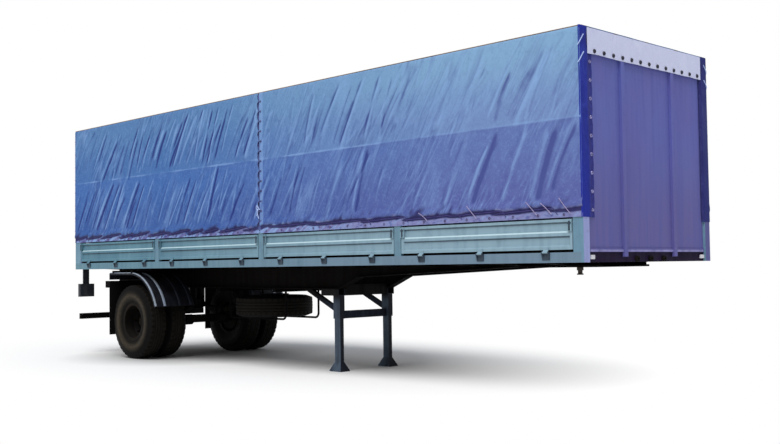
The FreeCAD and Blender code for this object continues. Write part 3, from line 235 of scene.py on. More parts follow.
def tarpaulin(name, tones, hem, light, dark, creased=1.0):
    """Coated cloth: tones that change along the trailer and down its side, creases and relief painted as
    highlight and shade in patches, painted shadow in its gathers, and a pale hem with painted shade and
    highlights.

    tones holds four (rear, front) pairs: at the roof, above the seam, below it, and at the foot.
    """
    s = Shader(name, Specular_IOR_Level=0.22)
    cloud = s.noise(0.9, 5, rough=0.6)
    wander = s.math("MULTIPLY", s.math("SUBTRACT", cloud, 0.5), 2.4)
    ahead = s.remap(s.math("ADD", s.axis("X"), wander), -2.6, 4.8)
    height = s.axis("Z")
    at_roof, above, below, at_foot = (s.mix(rear, front, ahead) for rear, front in tones)
    upper = s.over(above, at_roof, height, Z_SEAM + 0.1, Z_TOP - 0.1)
    lower = s.over(at_foot, below, height, Z_HEM + 0.15, Z_SEAM - 0.1)
    tone = s.over(upper, lower, height, Z_SEAM + 0.012, Z_SEAM - 0.008)
    shade = s.over(dark, at_foot, ahead, 0.35, 1.0, 0.5)
    mottle = s.noise(9, 6, rough=0.7)
    tone = s.over(tone, light, mottle, 0.5, 0.8, 0.22)
    tone = s.over(tone, shade, mottle, 0.48, 0.2, 0.3)
    tone = s.over(tone, light, s.noise(2.2, 5, stretch=(1, 1, 0.35)), 0.55, 0.8, 0.2)
    weave = s.noise(46, 4, rough=0.8)
    tone = s.over(tone, light, weave, 0.52, 0.66, 0.22)
    tone = s.over(tone, shade, weave, 0.48, 0.34, 0.18)
    patch = s.remap(s.noise(1.1, 2), 0.38, 0.58)
    # creases in patches: a painted highlight along each ridge and painted shade beside it
    for scale, level, width, lean, strength in (
            (3.6, 0.52, 0.040, 0.62, 0.20), (6.5, 0.47, 0.040, 0.55, 0.16), (11.0, 0.55, 0.045, 0.66, 0.14)):
        share = s.math("MULTIPLY", patch, strength * creased)
        ridge = s.crease(scale, level, width, lean)
        beside = s.crease(scale, level - width * 1.1, width, lean)
        tone = s.mix(tone, shade, s.math("MULTIPLY", beside, share))
        tone = s.mix(tone, light, s.math("MULTIPLY", ridge, share))
        s.bump(ridge, 0.12 * creased, 0.003)
    # painted highlight where the relief attribute is high and painted shade where it is low
    relief = s.attribute("relief")
    tone = s.over(tone, light, relief, 0.53, 1.0, 0.52)
    tone = s.over(tone, shade, relief, 0.47, 0.05, 0.9)
    # the hem's strip: painted shade of its gathers, heavier toward the rear, blotches of painted shade and
    # highlight, and painted highlights in slashes
    blotch = s.noise(17, 6, rough=0.75, stretch=(0.7, 1, 1.3))
    strip = s.mix(shade, hem, s.remap(ahead, -0.4, 0.6, 0.3, 1.0))
    strip = s.over(strip, shade, blotch, 0.50, 0.36, 0.7)
    strip = s.over(strip, light, blotch, 0.54, 0.68, 0.55)
    slash = s.math("MULTIPLY", s.crease(12.0, 0.5, 0.10, 1.7), s.remap(ahead, 0.75, 0.3, 0.15, 0.75))
    strip = s.mix(strip, light, slash)
    tone = s.mix(tone, strip, s.attribute("hem"))
    # painted shadow in the gathers
    tone = s.over(tone, srgb(30, 22, 80), s.attribute("gather"), 0.1, 0.75, 0.92)
    s.bump(s.math("MULTIPLY", s.wave(520, "X"), s.wave(520, "Z")), 0.16, 0.0005)
    s.bump(s.noise(34, 4), 0.3, 0.002)
    return s.finish(tone, s.remap(cloud, 0.3, 0.7, 0.5, 0.66))


def rubber(name, colour, dust):
    """Black rubber, with dust where the piece's dust attribute is high and a little everywhere; on tyres the
    high dust is also a painted highlight.
    """
    s = Shader(name, Specular_IOR_Level=0.12)
    band = s.attribute("dust")
    grain = s.noise(30, 5, rough=0.7)
    tone = s.mix(colour, dust, s.math("MULTIPLY", band, s.remap(grain, 0.25, 0.65, 0.35, 1.0)))
    tone = s.over(tone, dust, grain, 0.5, 0.85, 0.25)
    s.bump(s.noise(220, 3), 0.2, 0.0008)
    return s.finish(tone, s.remap(grain, 0.3, 0.8, 0.62, 0.88))


def timber(name):
    s = Shader(name)
    grain = s.noise(6, 6, stretch=(0.5, 9, 9), rough=0.65)
    tone = s.over(srgb(128, 98, 70), srgb(82, 62, 46), grain, 0.35, 0.68)
    tone = s.over(tone, srgb(110, 106, 100), s.noise(2.5, 4), 0.45, 0.75, 0.6)
    s.bump(grain, 0.35, 0.002)
    return s.finish(tone, s.remap(grain, 0.3, 0.7, 0.7, 0.9))


def steel(name, colour, rough=0.35):
    s = Shader(name, Metallic=0.85)
    smear = s.noise(20, 5, stretch=(1, 1, 4))
    tone = s.over(colour, srgb(70, 58, 46), smear, 0.48, 0.75, 0.7)
    s.bump(s.noise(160, 3), 0.15, 0.0005)
    return s.finish(tone, s.remap(smear, 0.3, 0.75, rough, rough + 0.3))


def rope(name, colour, dirt):
    s = Shader(name)
    lay = s.wave(70, "DIAGONAL", 1.5)
    tone = s.over(colour, dirt, lay, 0.35, 0.0, 0.75)
    tone = s.over(tone, dirt, s.noise(12, 4), 0.45, 0.75, 0.6)
    s.bump(lay, 0.6, 0.002)
    return s.finish(tone, s.remap(lay, 0.0, 1.0, 0.9, 0.75))


def lens(name, colour, glow):
    s = Shader(name, IOR=1.5, Coat_Weight=0.6)
    ribs = s.wave(140, "Y")
    tone = s.over(colour, glow, ribs, 0.2, 0.9)
    s.bump(ribs, 0.5, 0.0015)
    return s.finish(tone, s.remap(s.noise(30, 3), 0.4, 0.8, 0.16, 0.4))


# lighter toward the front as painted light, with painted highlight on faces that look up and painted shade on
# faces that look down
BOARD = painted("board_paint", srgb(76, 118, 136), srgb(88, 130, 146), srgb(70, 96, 114), 0.5, 0.22, 0.1, 1.3,
                fade=("X", -4.0, 3.6, srgb(138, 164, 178), 0.85), ledge_shading=0.75)
RAIL = painted("rail_paint", srgb(88, 126, 142), srgb(98, 134, 148), srgb(72, 94, 108), 0.52, 0.25, 0.15,
               fade=("X", -4.0, 3.0, srgb(106, 127, 146), 0.85))
# darker than the boards: painted shade standing for the shadow under the hinge knuckles
HINGE = painted("hinge_paint_and_shade", srgb(48, 62, 76), srgb(58, 72, 86), srgb(40, 44, 52), 0.5, 0.4, 0.2, 6.0)
POST = painted("post_paint", srgb(92, 126, 146), srgb(104, 138, 154), srgb(78, 100, 118), 0.5, 0.4, 0.1)
# faces that look forward: lilac on the right as painted light, and dark like the wall on the left as painted
# shade
CORNER_POST = painted("corner_paint_and_shading", srgb(98, 134, 156), srgb(110, 146, 164), srgb(82, 104, 124), 0.5, 0.4,
                      0.1, forward_face_shading=(srgb(146, 154, 204), srgb(84, 82, 142)))
# near black: dark paint with the shade of the underside painted into it
FRAME = painted("frame_paint", srgb(7, 5, 5), srgb(11, 8, 7), srgb(22, 17, 15), 0.75, 0.3, 0.1, sheen=0.06)
# dark violet: the beam's paint with painted shade on top of it
FRONT_BEAM = painted("front_beam_paint_and_shade", srgb(24, 15, 40), srgb(31, 21, 49), srgb(46, 34, 54), 0.6, 0.3, 0.1,
                     sheen=0.1)
WALL = painted("wall_paint", srgb(92, 102, 172), srgb(94, 94, 164), srgb(84, 92, 160), 0.55, 0.45, 0.02, 0.8,
               fade=("Z", 2.9, 1.6, srgb(94, 88, 146), 0.85))
SILL = painted("sill_paint", srgb(126, 124, 180), srgb(142, 140, 190), srgb(84, 80, 120), 0.5, 0.4, 0.2, 6.0)
# black toward the top where the leg goes under the frame, and dark on faces that look forward: painted shade
LEG = painted("leg_paint", srgb(62, 74, 88), srgb(80, 93, 109), srgb(34, 36, 41), 0.55, 0.5, 0.3, 4.0, 0.12,
              fade=("Z", 0.86, 0.99, srgb(6, 6, 8), 1.0), forward_face_shading=(srgb(30, 34, 44), srgb(30, 34, 44)))
# black toward the top, under the frame: painted shade
BRACE = painted("brace_paint_and_shade", srgb(30, 36, 48), srgb(40, 46, 60), srgb(12, 12, 14), 0.6, 0.4, 0.1, 4.0, 0.08,
                fade=("Z", 0.88, 0.98, srgb(5, 5, 6), 1.0))
WHEEL = painted("wheel_paint", srgb(12, 10, 9), srgb(18, 15, 13), srgb(42, 35, 28), 0.7, 0.5, 0.2, 5.0, 0.12)
GUARD = painted("guard_paint", srgb(11, 13, 21), srgb(18, 22, 33), srgb(36, 36, 40), 0.55, 0.4, 0.2, 4.0, 0.2)
# the outer ribs pale as painted highlight and the inner ribs dark as painted shade, copies of one rib
LIT_GUARD_RIB = painted("lit_guard_rib_paint", srgb(120, 132, 150), srgb(150, 160, 172), srgb(70, 70, 76), 0.42, 0.5,
                    0.4, 7.0)
SHADED_GUARD_RIB = painted("shaded_guard_rib_paint", srgb(22, 26, 38), srgb(34, 40, 54), srgb(30, 30, 36), 0.55, 0.5, 0.4, 7.0)
IRON = painted("hub_iron", srgb(11, 9, 8), srgb(18, 15, 13), srgb(38, 32, 26), 0.8, 0.5, 0.2, 8.0, 0.1)
TYRE = rubber("tyre_rubber", srgb(4, 3, 3), srgb(66, 59, 48))
FLAP = rubber("flap_rubber", srgb(12, 10, 10), srgb(40, 36, 32))
WOOD = timber("deck_wood")
PIN = steel("pin_steel", (0.07, 0.06, 0.055, 1), 0.45)
LAMP_BODY = painted("lamp_plastic", srgb(34, 38, 46), srgb(42, 46, 54), srgb(76, 74, 72), 0.5, 0.4, 0.1, 9.0)


def alike(rear, front):
    """One pair of tones for the whole height."""
    return [(rear, front)] * 4


BLUE_TONES = [(srgb(78, 120, 168), srgb(124, 162, 196)), (srgb(62, 104, 162), srgb(110, 136, 182)),
              (srgb(58, 100, 164), srgb(92, 110, 166)), (srgb(46, 84, 150), srgb(84, 92, 154))]
BLUE = tarpaulin("tilt_blue", BLUE_TONES, srgb(122, 124, 170), srgb(134, 168, 216), srgb(28, 42, 114))
JOINT = tarpaulin("tilt_joint", alike(srgb(80, 92, 146), srgb(78, 84, 138)), srgb(80, 74, 130),
                  srgb(104, 110, 164), srgb(40, 38, 92), 0.3)
NAVY = tarpaulin("tilt_navy", alike(srgb(18, 33, 136), srgb(20, 36, 142)), srgb(42, 40, 114),
                 srgb(58, 76, 176), srgb(9, 12, 70), 1.0)
# a darker copy of the navy for the far corner's wrap: painted shade
SHADED_NAVY = tarpaulin("tilt_navy_shaded", alike(srgb(28, 34, 104), srgb(32, 38, 108)), srgb(36, 34, 92),
                     srgb(72, 80, 140), srgb(10, 12, 54), 1.0)
WHITE = tarpaulin("tilt_white", alike(srgb(200, 204, 232), srgb(200, 204, 232)), srgb(198, 198, 226),
                 srgb(228, 230, 248), srgb(150, 150, 196), 0.5)
ROPE = rope("rope", srgb(170, 160, 200), srgb(96, 84, 124))
PALE_ROPE = rope("pale_rope", srgb(184, 204, 244), srgb(110, 130, 200))
DARK_ROPE = rope("dark_rope", srgb(76, 76, 130), srgb(40, 36, 84))
HEM_ROPE = rope("hem_rope", srgb(66, 60, 128), srgb(34, 26, 84))
LAP_EYELET = steel("lap_eyelet_metal", (0.34, 0.32, 0.58, 1), 0.45)
EYELET = steel("eyelet_metal", (0.16, 0.12, 0.26, 1), 0.4)
BLACK_EYELET = painted("black_eyelet", srgb(26, 24, 40), srgb(36, 34, 50), srgb(64, 60, 76), 0.4, 0.3, 0.2,
                       9.0)
RED_LENS = lens("red_lens", srgb(120, 16, 14), srgb(160, 30, 24))
AMBER_LENS = lens("amber_lens", srgb(176, 84, 12), srgb(206, 116, 30))
CLEAR_LENS = lens("clear_lens", srgb(206, 204, 214), srgb(230, 228, 236))


# ---- meshes ----
def link(data, name, body, material):
    """Adds the piece to the scene with its finish, riding its body."""
    piece = bpy.data.objects.new(name, data)
    bpy.context.scene.collection.objects.link(piece)
    data.materials.append(material)
    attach(piece, body)
    return piece


def from_bmesh(bm, name, body, material, sharp=35):
    """Makes the piece, smooth except over edges sharper than that many degrees."""
    bmesh.ops.recalc_face_normals(bm, faces=bm.faces)
    for face in bm.faces:
        face.smooth = True
    for edge in bm.edges:
        if len(edge.link_faces) == 2 and edge.calc_face_angle(0) > math.radians(sharp):
            edge.smooth = False
    mesh = bpy.data.meshes.new(name)
    bm.to_mesh(mesh)
    bm.free()
    return link(mesh, name, body, material)


def surface(name, points, body, material, attributes, around=False, flip=False):
    """A smooth quad grid through points[i, j]; around joins the last column to the first."""
    columns, rows = points.shape[:2]
    index = np.arange(columns * rows).reshape(columns, rows)
    if around:
        index = np.vstack([index, index[:1]])
    a, b, c, d = index[:-1, :-1], index[1:, :-1], index[1:, 1:], index[:-1, 1:]
    quads = np.stack([a, b, c, d], axis=-1).reshape(-1, 4)
    if flip:
        quads = quads[:, ::-1]
    mesh = bpy.data.meshes.new(name)
    mesh.from_pydata(points.reshape(-1, 3).tolist(), [], quads.tolist())
    for key, values in attributes.items():
        layer = mesh.attributes.new(key, "FLOAT", "POINT")
        layer.data.foreach_set("value", np.asarray(values, np.float32).ravel())
    mesh.shade_smooth()
    return link(mesh, name, body, material)


def rows_between(*runs):
    """Numbers along several runs (start, end, step), each run meeting the next."""
    out = []
    for start, end, step in runs:
        count = max(1, round(abs(end - start) / step))
        out += [start + (end - start) * i / count for i in range(count)]
    return np.array(out + [runs[-1][1]])


def smooth(value, low, high):
    t = np.clip((np.asarray(value, float) - low) / (high - low), 0, 1)
    return t * t * (3 - 2 * t)


def hump(value, middle, width, power=2):
    """1 at middle and falling off on both sides, with a flatter top where power is higher."""
    return np.exp(-((value - middle) / width) ** power)


def ripple(u, v, seed):
    """Smooth random heights from -1 to 1 on a unit lattice."""
    lattice = np.random.default_rng(seed).uniform(-1, 1, (64, 64))
    i, j = np.floor(u).astype(int), np.floor(v).astype(int)
    fu, fv = smooth(u - i, 0, 1), smooth(v - j, 0, 1)
    near, far = (lattice[i % 64, row % 64] * (1 - fu) + lattice[(i + 1) % 64, row % 64] * fu
                 for row in (j, j + 1))
    return near * (1 - fv) + far * fv


def curve(name, runs, radius, body, material):
    """One piece of several tubes, each through its own points."""
    data = bpy.data.curves.new(name, "CURVE")
    data.dimensions = "3D"
    data.bevel_depth = radius
    data.bevel_resolution = 2
    data.resolution_u = 3
    data.use_fill_caps = True
    for points in runs:
        spline = data.splines.new("NURBS")
        spline.points.add(len(points) - 1)
        for target, p in zip(spline.points, points):
            target.co = (*p, 1)
        spline.order_u = 3
        spline.use_endpoint_u = True
    return link(data, name, body, material)


def facing(place, direction):
    """A matrix that puts local +Z along direction at place."""
    turn = Vector(direction).normalized().to_track_quat("Z", "Y").to_matrix().to_4x4()
    return Matrix.Translation(place) @ turn


def add_stack(bm, place, direction, radius, height, stages):
    """Cones one on another from the face at place. A stage holds its sides, radii and heights, as shares."""
    at = facing(place, direction)
    for sides, r1, r2, z0, z1 in stages:
        bmesh.ops.create_cone(bm, cap_ends=True, segments=sides, radius1=r1 * radius, radius2=r2 * radius,
                              depth=(z1 - z0) * height,
                              matrix=at @ Matrix.Translation((0, 0, (z0 + z1) / 2 * height)))


def add_bolt(bm, place, direction, radius, proud):
    """A hexagon head on a washer."""
    add_stack(bm, place, direction, radius, proud,
              ((14, 1.5, 1.4, 0, 0.22), (6, 1.0, 1.0, 0.22, 0.85), (6, 1.0, 0.78, 0.85, 1.0)))


def add_rivet(bm, place, direction, radius):
    """A low domed head."""
    add_stack(bm, place, direction, radius, radius, ((8, 1.0, 0.92, 0.0, 0.25), (8, 0.92, 0.5, 0.25, 0.5)))


def add_ring(bm, place, direction, radius, wire, sides=16, around=6):
    """A round ring lying on the face at place."""
    at = facing(place, direction)
    loops = []
    for i in range(sides):
        a = 2 * math.pi * i / sides
        loop = []
        for j in range(around):
            b = 2 * math.pi * j / around
            r = radius + wire * math.cos(b)
            loop.append(bm.verts.new(at @ Vector((r * math.cos(a), r * math.sin(a), wire * math.sin(b)))))
        loops.append(loop)
    for i in range(sides):
        here, ahead = loops[i], loops[(i + 1) % sides]
        for j in range(around):
            k = (j + 1) % around
            bm.faces.new((here[j], ahead[j], ahead[k], here[k]))


def add_block(bm, low, high, edge=0.002):
    """A block with chamfered edges."""
    made = bmesh.ops.create_cube(bm, size=1.0)
    size = Vector(high) - Vector(low)
    middle = (Vector(high) + Vector(low)) / 2
    for v in made["verts"]:
        v.co = Vector((v.co.x * size.x, v.co.y * size.y, v.co.z * size.z)) + middle
    edges = {e for v in made["verts"] for e in v.link_edges}
    bmesh.ops.bevel(bm, geom=list(edges), offset=min(edge, min(size) * 0.3), segments=2, profile=0.7,
                    affect="EDGES")


def many(name, body, material, slot_name, adder, places, **sizes):
    """One piece of many small parts, each put at its own place by adder."""
    bm = bmesh.new()
    for place in places:
        adder(bm, *place, **sizes)
    return from_bmesh(bm, name, body, material)


# ---- the tilt's cover: right side, roof and left side in one sheet ----
COVER = 0.0075              # how far the cover stands off what carries it
EDGE = 0.035                # rounding where a side turns into the roof
LACE_PITCH = 0.13           # eyelets along the joint

# Main pull lines of the right side. Each has its upper end and its lower end, both as metres forward of the
# joint and share of the height from the top, then its half width in mm and its height in mm (ridge above 0).
FOLDS = [
    # rear bay
    (-3.55, 0.14, -4.10, 0.50, 25, -9), (-3.35, 0.10, -3.78, 0.50, 21, 7), (-2.75, 0.04, -3.05, 0.46, 17, 6),
    (-3.00, 0.16, -3.30, 0.52, 21, -7), (-3.70, 0.50, -4.30, 0.93, 26, -10),
    (-3.50, 0.52, -4.02, 0.93, 23, 8), (-3.35, 0.62, -3.80, 0.92, 20, -6),
    (-2.95, 0.52, -3.42, 0.90, 25, -10), (-2.80, 0.55, -3.15, 0.90, 18, 6),
    (-4.30, 0.04, -4.62, 0.20, 18, -4), (-3.85, 0.05, -4.10, 0.26, 18, 4), (-2.55, 0.50, -2.85, 0.80, 17, 4),
    # second bay
    (-1.95, 0.06, -2.25, 0.30, 18, 6), (-1.60, 0.04, -2.05, 0.46, 23, 9), (-1.75, 0.14, -2.15, 0.44, 18, -6),
    (-1.25, 0.03, -1.50, 0.42, 20, 6), (-1.05, 0.04, -1.32, 0.46, 18, -9), (-0.88, 0.04, -1.18, 0.48, 20, 8),
    (-0.70, 0.06, -1.02, 0.44, 16, -6), (-0.55, 0.04, -0.85, 0.40, 17, 6),
    (-0.92, 0.48, -1.18, 0.86, 21, -10), (-1.60, 0.54, -1.98, 0.92, 21, -7),
    (-1.42, 0.56, -1.78, 0.92, 20, 7), (-0.70, 0.50, -0.95, 0.84, 18, 6), (-0.42, 0.56, -0.60, 0.86, 17, -5),
    (-2.10, 0.52, -2.45, 0.88, 20, 5), (-0.35, 0.20, -0.50, 0.44, 16, 3),
    # third bay
    (0.75, 0.06, 0.62, 0.34, 20, 3), (1.12, 0.08, 0.92, 0.42, 20, 6), (1.26, 0.12, 1.02, 0.44, 19, -4),
    (1.60, 0.06, 1.22, 0.38, 22, 5), (1.78, 0.08, 1.42, 0.46, 20, -4), (2.02, 0.04, 1.55, 0.50, 23, 7),
    (2.30, 0.04, 1.98, 0.46, 23, 6), (2.46, 0.06, 2.26, 0.42, 18, -4), (0.82, 0.52, 0.58, 0.90, 20, -5),
    (0.96, 0.54, 0.72, 0.88, 18, 4), (1.62, 0.54, 1.30, 0.92, 33, 4), (2.04, 0.50, 1.80, 0.92, 28, -7),
    (1.22, 0.62, 1.02, 0.88, 18, 3), (2.32, 0.62, 2.15, 0.86, 19, 3), (0.36, 0.56, 0.24, 0.80, 18, 2),
    # front bay
    (3.52, 0.12, 3.12, 0.46, 45, 4), (3.85, 0.06, 3.62, 0.26, 26, 2), (4.15, 0.18, 3.92, 0.46, 36, -4),
    (4.66, 0.10, 4.18, 0.50, 39, 5), (4.92, 0.02, 4.70, 0.16, 26, 3), (4.80, 0.22, 4.60, 0.46, 26, -2),
    (3.58, 0.52, 3.20, 0.92, 31, 6), (3.42, 0.52, 3.32, 0.62, 20, 4), (3.97, 0.50, 3.60, 0.92, 36, -8),
    (4.36, 0.50, 4.00, 0.92, 31, 6), (4.70, 0.52, 4.44, 0.93, 42, -8), (4.95, 0.50, 4.62, 0.88, 31, -7),
    (4.98, 0.36, 4.88, 0.48, 21, 2), (4.90, 0.58, 4.66, 0.84, 20, 4), (2.95, 0.54, 2.78, 0.80, 22, 2),
]


def minor_folds(seed, count, tallest):
    """Smaller creases, closer together toward the rear. Each one stays above or below the seam."""
    rng = np.random.default_rng(seed)
    lines = []
    for _ in range(count):
        x0 = 4.95 - 9.7 * rng.uniform(0, 1) ** 0.75
        top, limit = ((0.03, 0.46), (0.50, 0.93))[rng.integers(2)]
        start = top + rng.uniform(0.0, 0.16)
        end = min(limit, start + rng.uniform(0.24, 0.44))
        lean = rng.uniform(0.5, 0.72)
        height = rng.choice((-1, 1)) * rng.uniform(0.4, 1.0) * tallest * (1.0 if x0 < 0.3 else 0.55)
        if top > 0.48 and x0 < 0.3:
            height *= 0.8
        lines.append((x0, start, x0 - lean * (end - start) * TILT, end, rng.uniform(15, 27), height))
    return lines


CREASES = {-1: FOLDS + minor_folds(7, 190, 6.0), 1: minor_folds(11, 70, 10.0) + minor_folds(12, 170, 6.0)}


def pulled(x, down, side):
    """How far the cover stands in or out of its plane, by its pull lines and small creases."""
    z = -down * TILT
    out = np.zeros_like(x)
    nearest, farthest = x.min(axis=1), x.max(axis=1)
    for x0, t0, x1, t1, width, height in CREASES[side]:
        first = np.searchsorted(farthest, x1 - 0.12)
        last = np.searchsorted(nearest, x0 + 0.12)
        if first >= last:
            continue
        near_x, near_z = x[first:last], z[first:last]
        z0, z1 = -t0 * TILT, -t1 * TILT
        length = math.hypot(x1 - x0, z1 - z0)
        ux, uz = (x1 - x0) / length, (z1 - z0) / length
        along = ((near_x - x0) * ux + (near_z - z0) * uz) / length
        bow = 0.012 * np.sin(math.pi * np.clip(along, 0, 1))
        across = ((near_x - x0) * -uz + (near_z - z0) * ux + bow) / (width / 1000)
        taper = smooth(along, -0.04, 0.14) * smooth(along, 1.04, 0.86)
        out[first:last] += height / 1000 * taper * (hump(across, 0, 1) - 0.7 * hump(across, -1.6, 1))
    lean = x - LEAN * z
    patch = 0.45 + 0.55 * np.abs(ripple(x * 0.7 + 9, down * 2.1, 3 + side))
    out += 0.0016 * patch * ripple(lean / 0.07 + 20, down * 1.3 + 5, 5 + side)
    out += 0.0010 * ripple(x / 0.11 + 7, z / 0.1 + 30, 13 + side)
    return out


def gathers(side):
    """Where the rope draws the cover in above its hem: rear end, length, height over the hem and rise."""
    rng = np.random.default_rng(40 + side)
    x, out = X_BACK - 0.1, []
    while x < X_FRONT:
        if x < 0:
            length, low, rise = rng.uniform(0.4, 0.75), rng.uniform(0.03, 0.045), rng.uniform(0.05, 0.07)
        else:
            length, low, rise = rng.uniform(0.7, 1.2), rng.uniform(0.055, 0.07), rng.uniform(0.028, 0.045)
        out.append((x, length, low, rise))
        x += length * rng.uniform(0.72, 0.85)
    return out


def drawn_in(x, z, side):
    """The cover's foot: how far it stands out, how much painted shadow lies in its gathers, and how much of
    it is hem.
    """
    groove, belly = np.zeros_like(x), np.zeros_like(x)
    for x0, length, low, rise in gathers(side):
        t = np.clip((x - x0) / length, 0, 1)
        level = Z_HEM + low + rise * t + 0.006 * ripple(x * 5 + 3, x * 0, 22)
        thick = 0.009 + 0.018 * np.sin(math.pi * t)
        here = smooth(t, 0, 0.1) * smooth(t, 1, 0.88)
        groove = np.maximum(groove, here * hump(z, level, thick))
        belly = np.maximum(belly, here * hump(z, level + 0.05, 0.035))
    pinch = ripple((x - 0.5 * z) / 0.06 + 17, z * 7, 24 + side)
    foot = smooth(x, -0.5, 0.5) * 0.03
    near = hump(z, Z_HEM + 0.105 + foot, 0.06)
    strip = smooth(z, Z_HEM + 0.085 + foot + 0.035 * pinch, Z_HEM + 0.05 + foot + 0.035 * pinch)
    out = 0.010 * belly - 0.012 * groove + 0.005 * near * pinch
    out += 0.003 * strip * ripple(x / 0.09 + 40, z * 12 + side, 27)
    return out, np.clip(groove + 0.75 * near * np.clip(-pinch, 0, 1), 0, 1), strip


def cover(name, x0, x1, joint, replaced):
    """One half of the cover. joint is the end where the two halves are laced together."""
    xs = rows_between((x0, x1, 0.0125))
    y_side = Y_CLOTH + COVER
    z_roof = Z_TOP - 0.0015
    zs = rows_between((Z_HEM, Z_HEM + 0.25, 0.0125), (Z_HEM + 0.25, Z_SEAM - 0.02, 0.022),
                      (Z_SEAM - 0.02, Z_SEAM + 0.02, 0.01), (Z_SEAM + 0.02, z_roof - EDGE, 0.022))
    turn = np.linspace(0, math.pi / 2, 5)[1:-1]
    ys = rows_between((-(y_side - EDGE), y_side - EDGE, 0.09))
    # the section, from the right hem over the roof: y, z, its outward direction, and the side
    right = [(-y_side, z, -1, 0, -1) for z in zs]
    right += [(-(y_side - EDGE) - EDGE * math.cos(a), z_roof - EDGE + EDGE * math.sin(a),
               -math.cos(a), math.sin(a), -1) for a in turn]
    section = right + [(y, z_roof, 0, 1, 0) for y in ys]
    section += [(-y, z, -ny, nz, -side) for y, z, ny, nz, side in reversed(right)]
    y, z, ny, nz, side = (np.array(column, float)[None, :] for column in zip(*section))
    # away from its ends the grid leans with the creases
    lean = LEAN * (smooth(xs, x0, x0 + 1.1) * smooth(xs, x1, x1 - 1.1))[:, None]
    x = xs[:, None] + lean * (z - (Z_HEM + Z_TOP) / 2)
    y, z, ny, nz, side = (a + 0 * x for a in (y, z, ny, nz, side))
    down = np.clip((z_roof - z) / TILT, 0, 1)
    out, folds, dark, hem = (np.zeros_like(x) for _ in range(4))
    ends = smooth(np.minimum(x - x0, x1 - x), 0.0, 0.06)
    for s in (-1, 1):
        fold = pulled(x, down, s) * smooth(down, 0.0, 0.05) * (0.25 + 0.75 * ends)
        fold *= smooth(z, Z_HEM + 0.12, Z_HEM + 0.22)
        foot, shade, band = drawn_in(x, z, s)
        out = np.where(side == s, fold + foot, out)
        folds = np.where(side == s, fold, folds)
        dark = np.where(side == s, shade, dark)
        hem = np.where(side == s, band, hem)
    # the relief attribute carries painted highlight and shade, first from the folds
    relief = 0.5 + folds / 0.0145
    flat = np.abs(side)
    seam = hump(z, Z_SEAM, 0.011, 4) * flat
    edge_strip = smooth(0.075 - np.abs(x - joint), 0.0, 0.006) * flat * (1.0 if joint == x0 else 0.45)
    out += 0.0025 * seam + 0.002 * edge_strip
    # painted highlight on the raised seam and on the edge strip at the joint
    relief += (0.30 + 0.2 * ripple(x * 3, 0 * x, 77)) * seam + 0.35 * edge_strip
    # between its eyelets the rear half's edge is drawn back from the joint
    if joint == x1:
        loop = (Z_TOP - z) / LACE_PITCH
        slack = 0.020 + 0.034 * (0.5 + 0.5 * ripple(np.floor(loop) * 3.7, 0 * x, 78))
        x = x - slack * np.abs(np.sin(math.pi * loop)) ** 0.7 * smooth(joint - x, 0.16, 0.0) * flat
    roof = side == 0
    batten = np.abs(np.sin(np.clip((y + y_side) / (2 * y_side), 0, 1) * math.pi * 4))
    sag = 0.007 * batten * smooth(np.abs(x - np.round(x / 2.5) * 2.5), 0.0, 0.4)
    out = np.where(roof, -sag + 0.0012 * ripple(x / 0.2, y / 0.16 + 9, 31), np.maximum(out, -COVER + 0.0016))
    # painted shade where the side turns into the roof
    roll = hump(np.abs(y), y_side - EDGE * 0.3, 0.02)
    roll *= smooth(z, z_roof - EDGE, z_roof - EDGE * 0.4)
    relief = np.where(roof, 0.5, relief - 0.12 * roll)
    points = np.stack([x, y + ny * out, z + nz * out], axis=-1)
    piece = surface(name, points, "chassis", BLUE,
                    {"relief": relief, "hem": hem, "gather": dark}, flip=True)
    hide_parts(*replaced)
    return piece


rear_cover = cover("rear_cover", X_BACK - 0.002, -0.008, -0.008, ["right_tilt_rear", "left_tilt_rear"])
front_cover = cover("front_cover", -0.004, X_FRONT + 0.002, -0.004,
                    ["right_tilt_front", "left_tilt_front", "tilt_roof"])


def joint_strip():
    """The strip behind the joint, from one hem over the roof to the other."""
    xs = np.linspace(-0.13, 0.05, 7)
    y_in, z_in = Y_CLOTH + 0.0012, Z_TOP - 0.0042
    rise = [(-y_in, z) for z in np.linspace(Z_HEM + 0.02, z_in - 0.03, 30)]
    line = rise + [(-y_in + 0.008, z_in - 0.008)]
    line += [(y, z_in) for y in np.linspace(-y_in + 0.03, y_in - 0.03, 16)]
    line += [(y_in - 0.008, z_in - 0.008)] + [(-y, z) for y, z in reversed(rise)]
    points = np.array([[(x, y, z) for y, z in line] for x in xs])
    none = np.zeros(points.shape[:2])
    return surface("joint_strip", points, "chassis", JOINT,
                   {"relief": none + 0.5, "hem": none, "gather": none}, flip=True)


strip_behind = joint_strip()


# ---- front end: corner wraps with their laps, and the pale flap ----
X_FACE = flap_high.x - 0.0012
X_PANEL = post_high.x - 0.018           # just before the front wall's sheet
LAP_PITCH = 0.18                        # eyelets down the near lap
LAP_HEIGHTS = [Z_TOP - 0.34 - LAP_PITCH * i for i in range(9)]


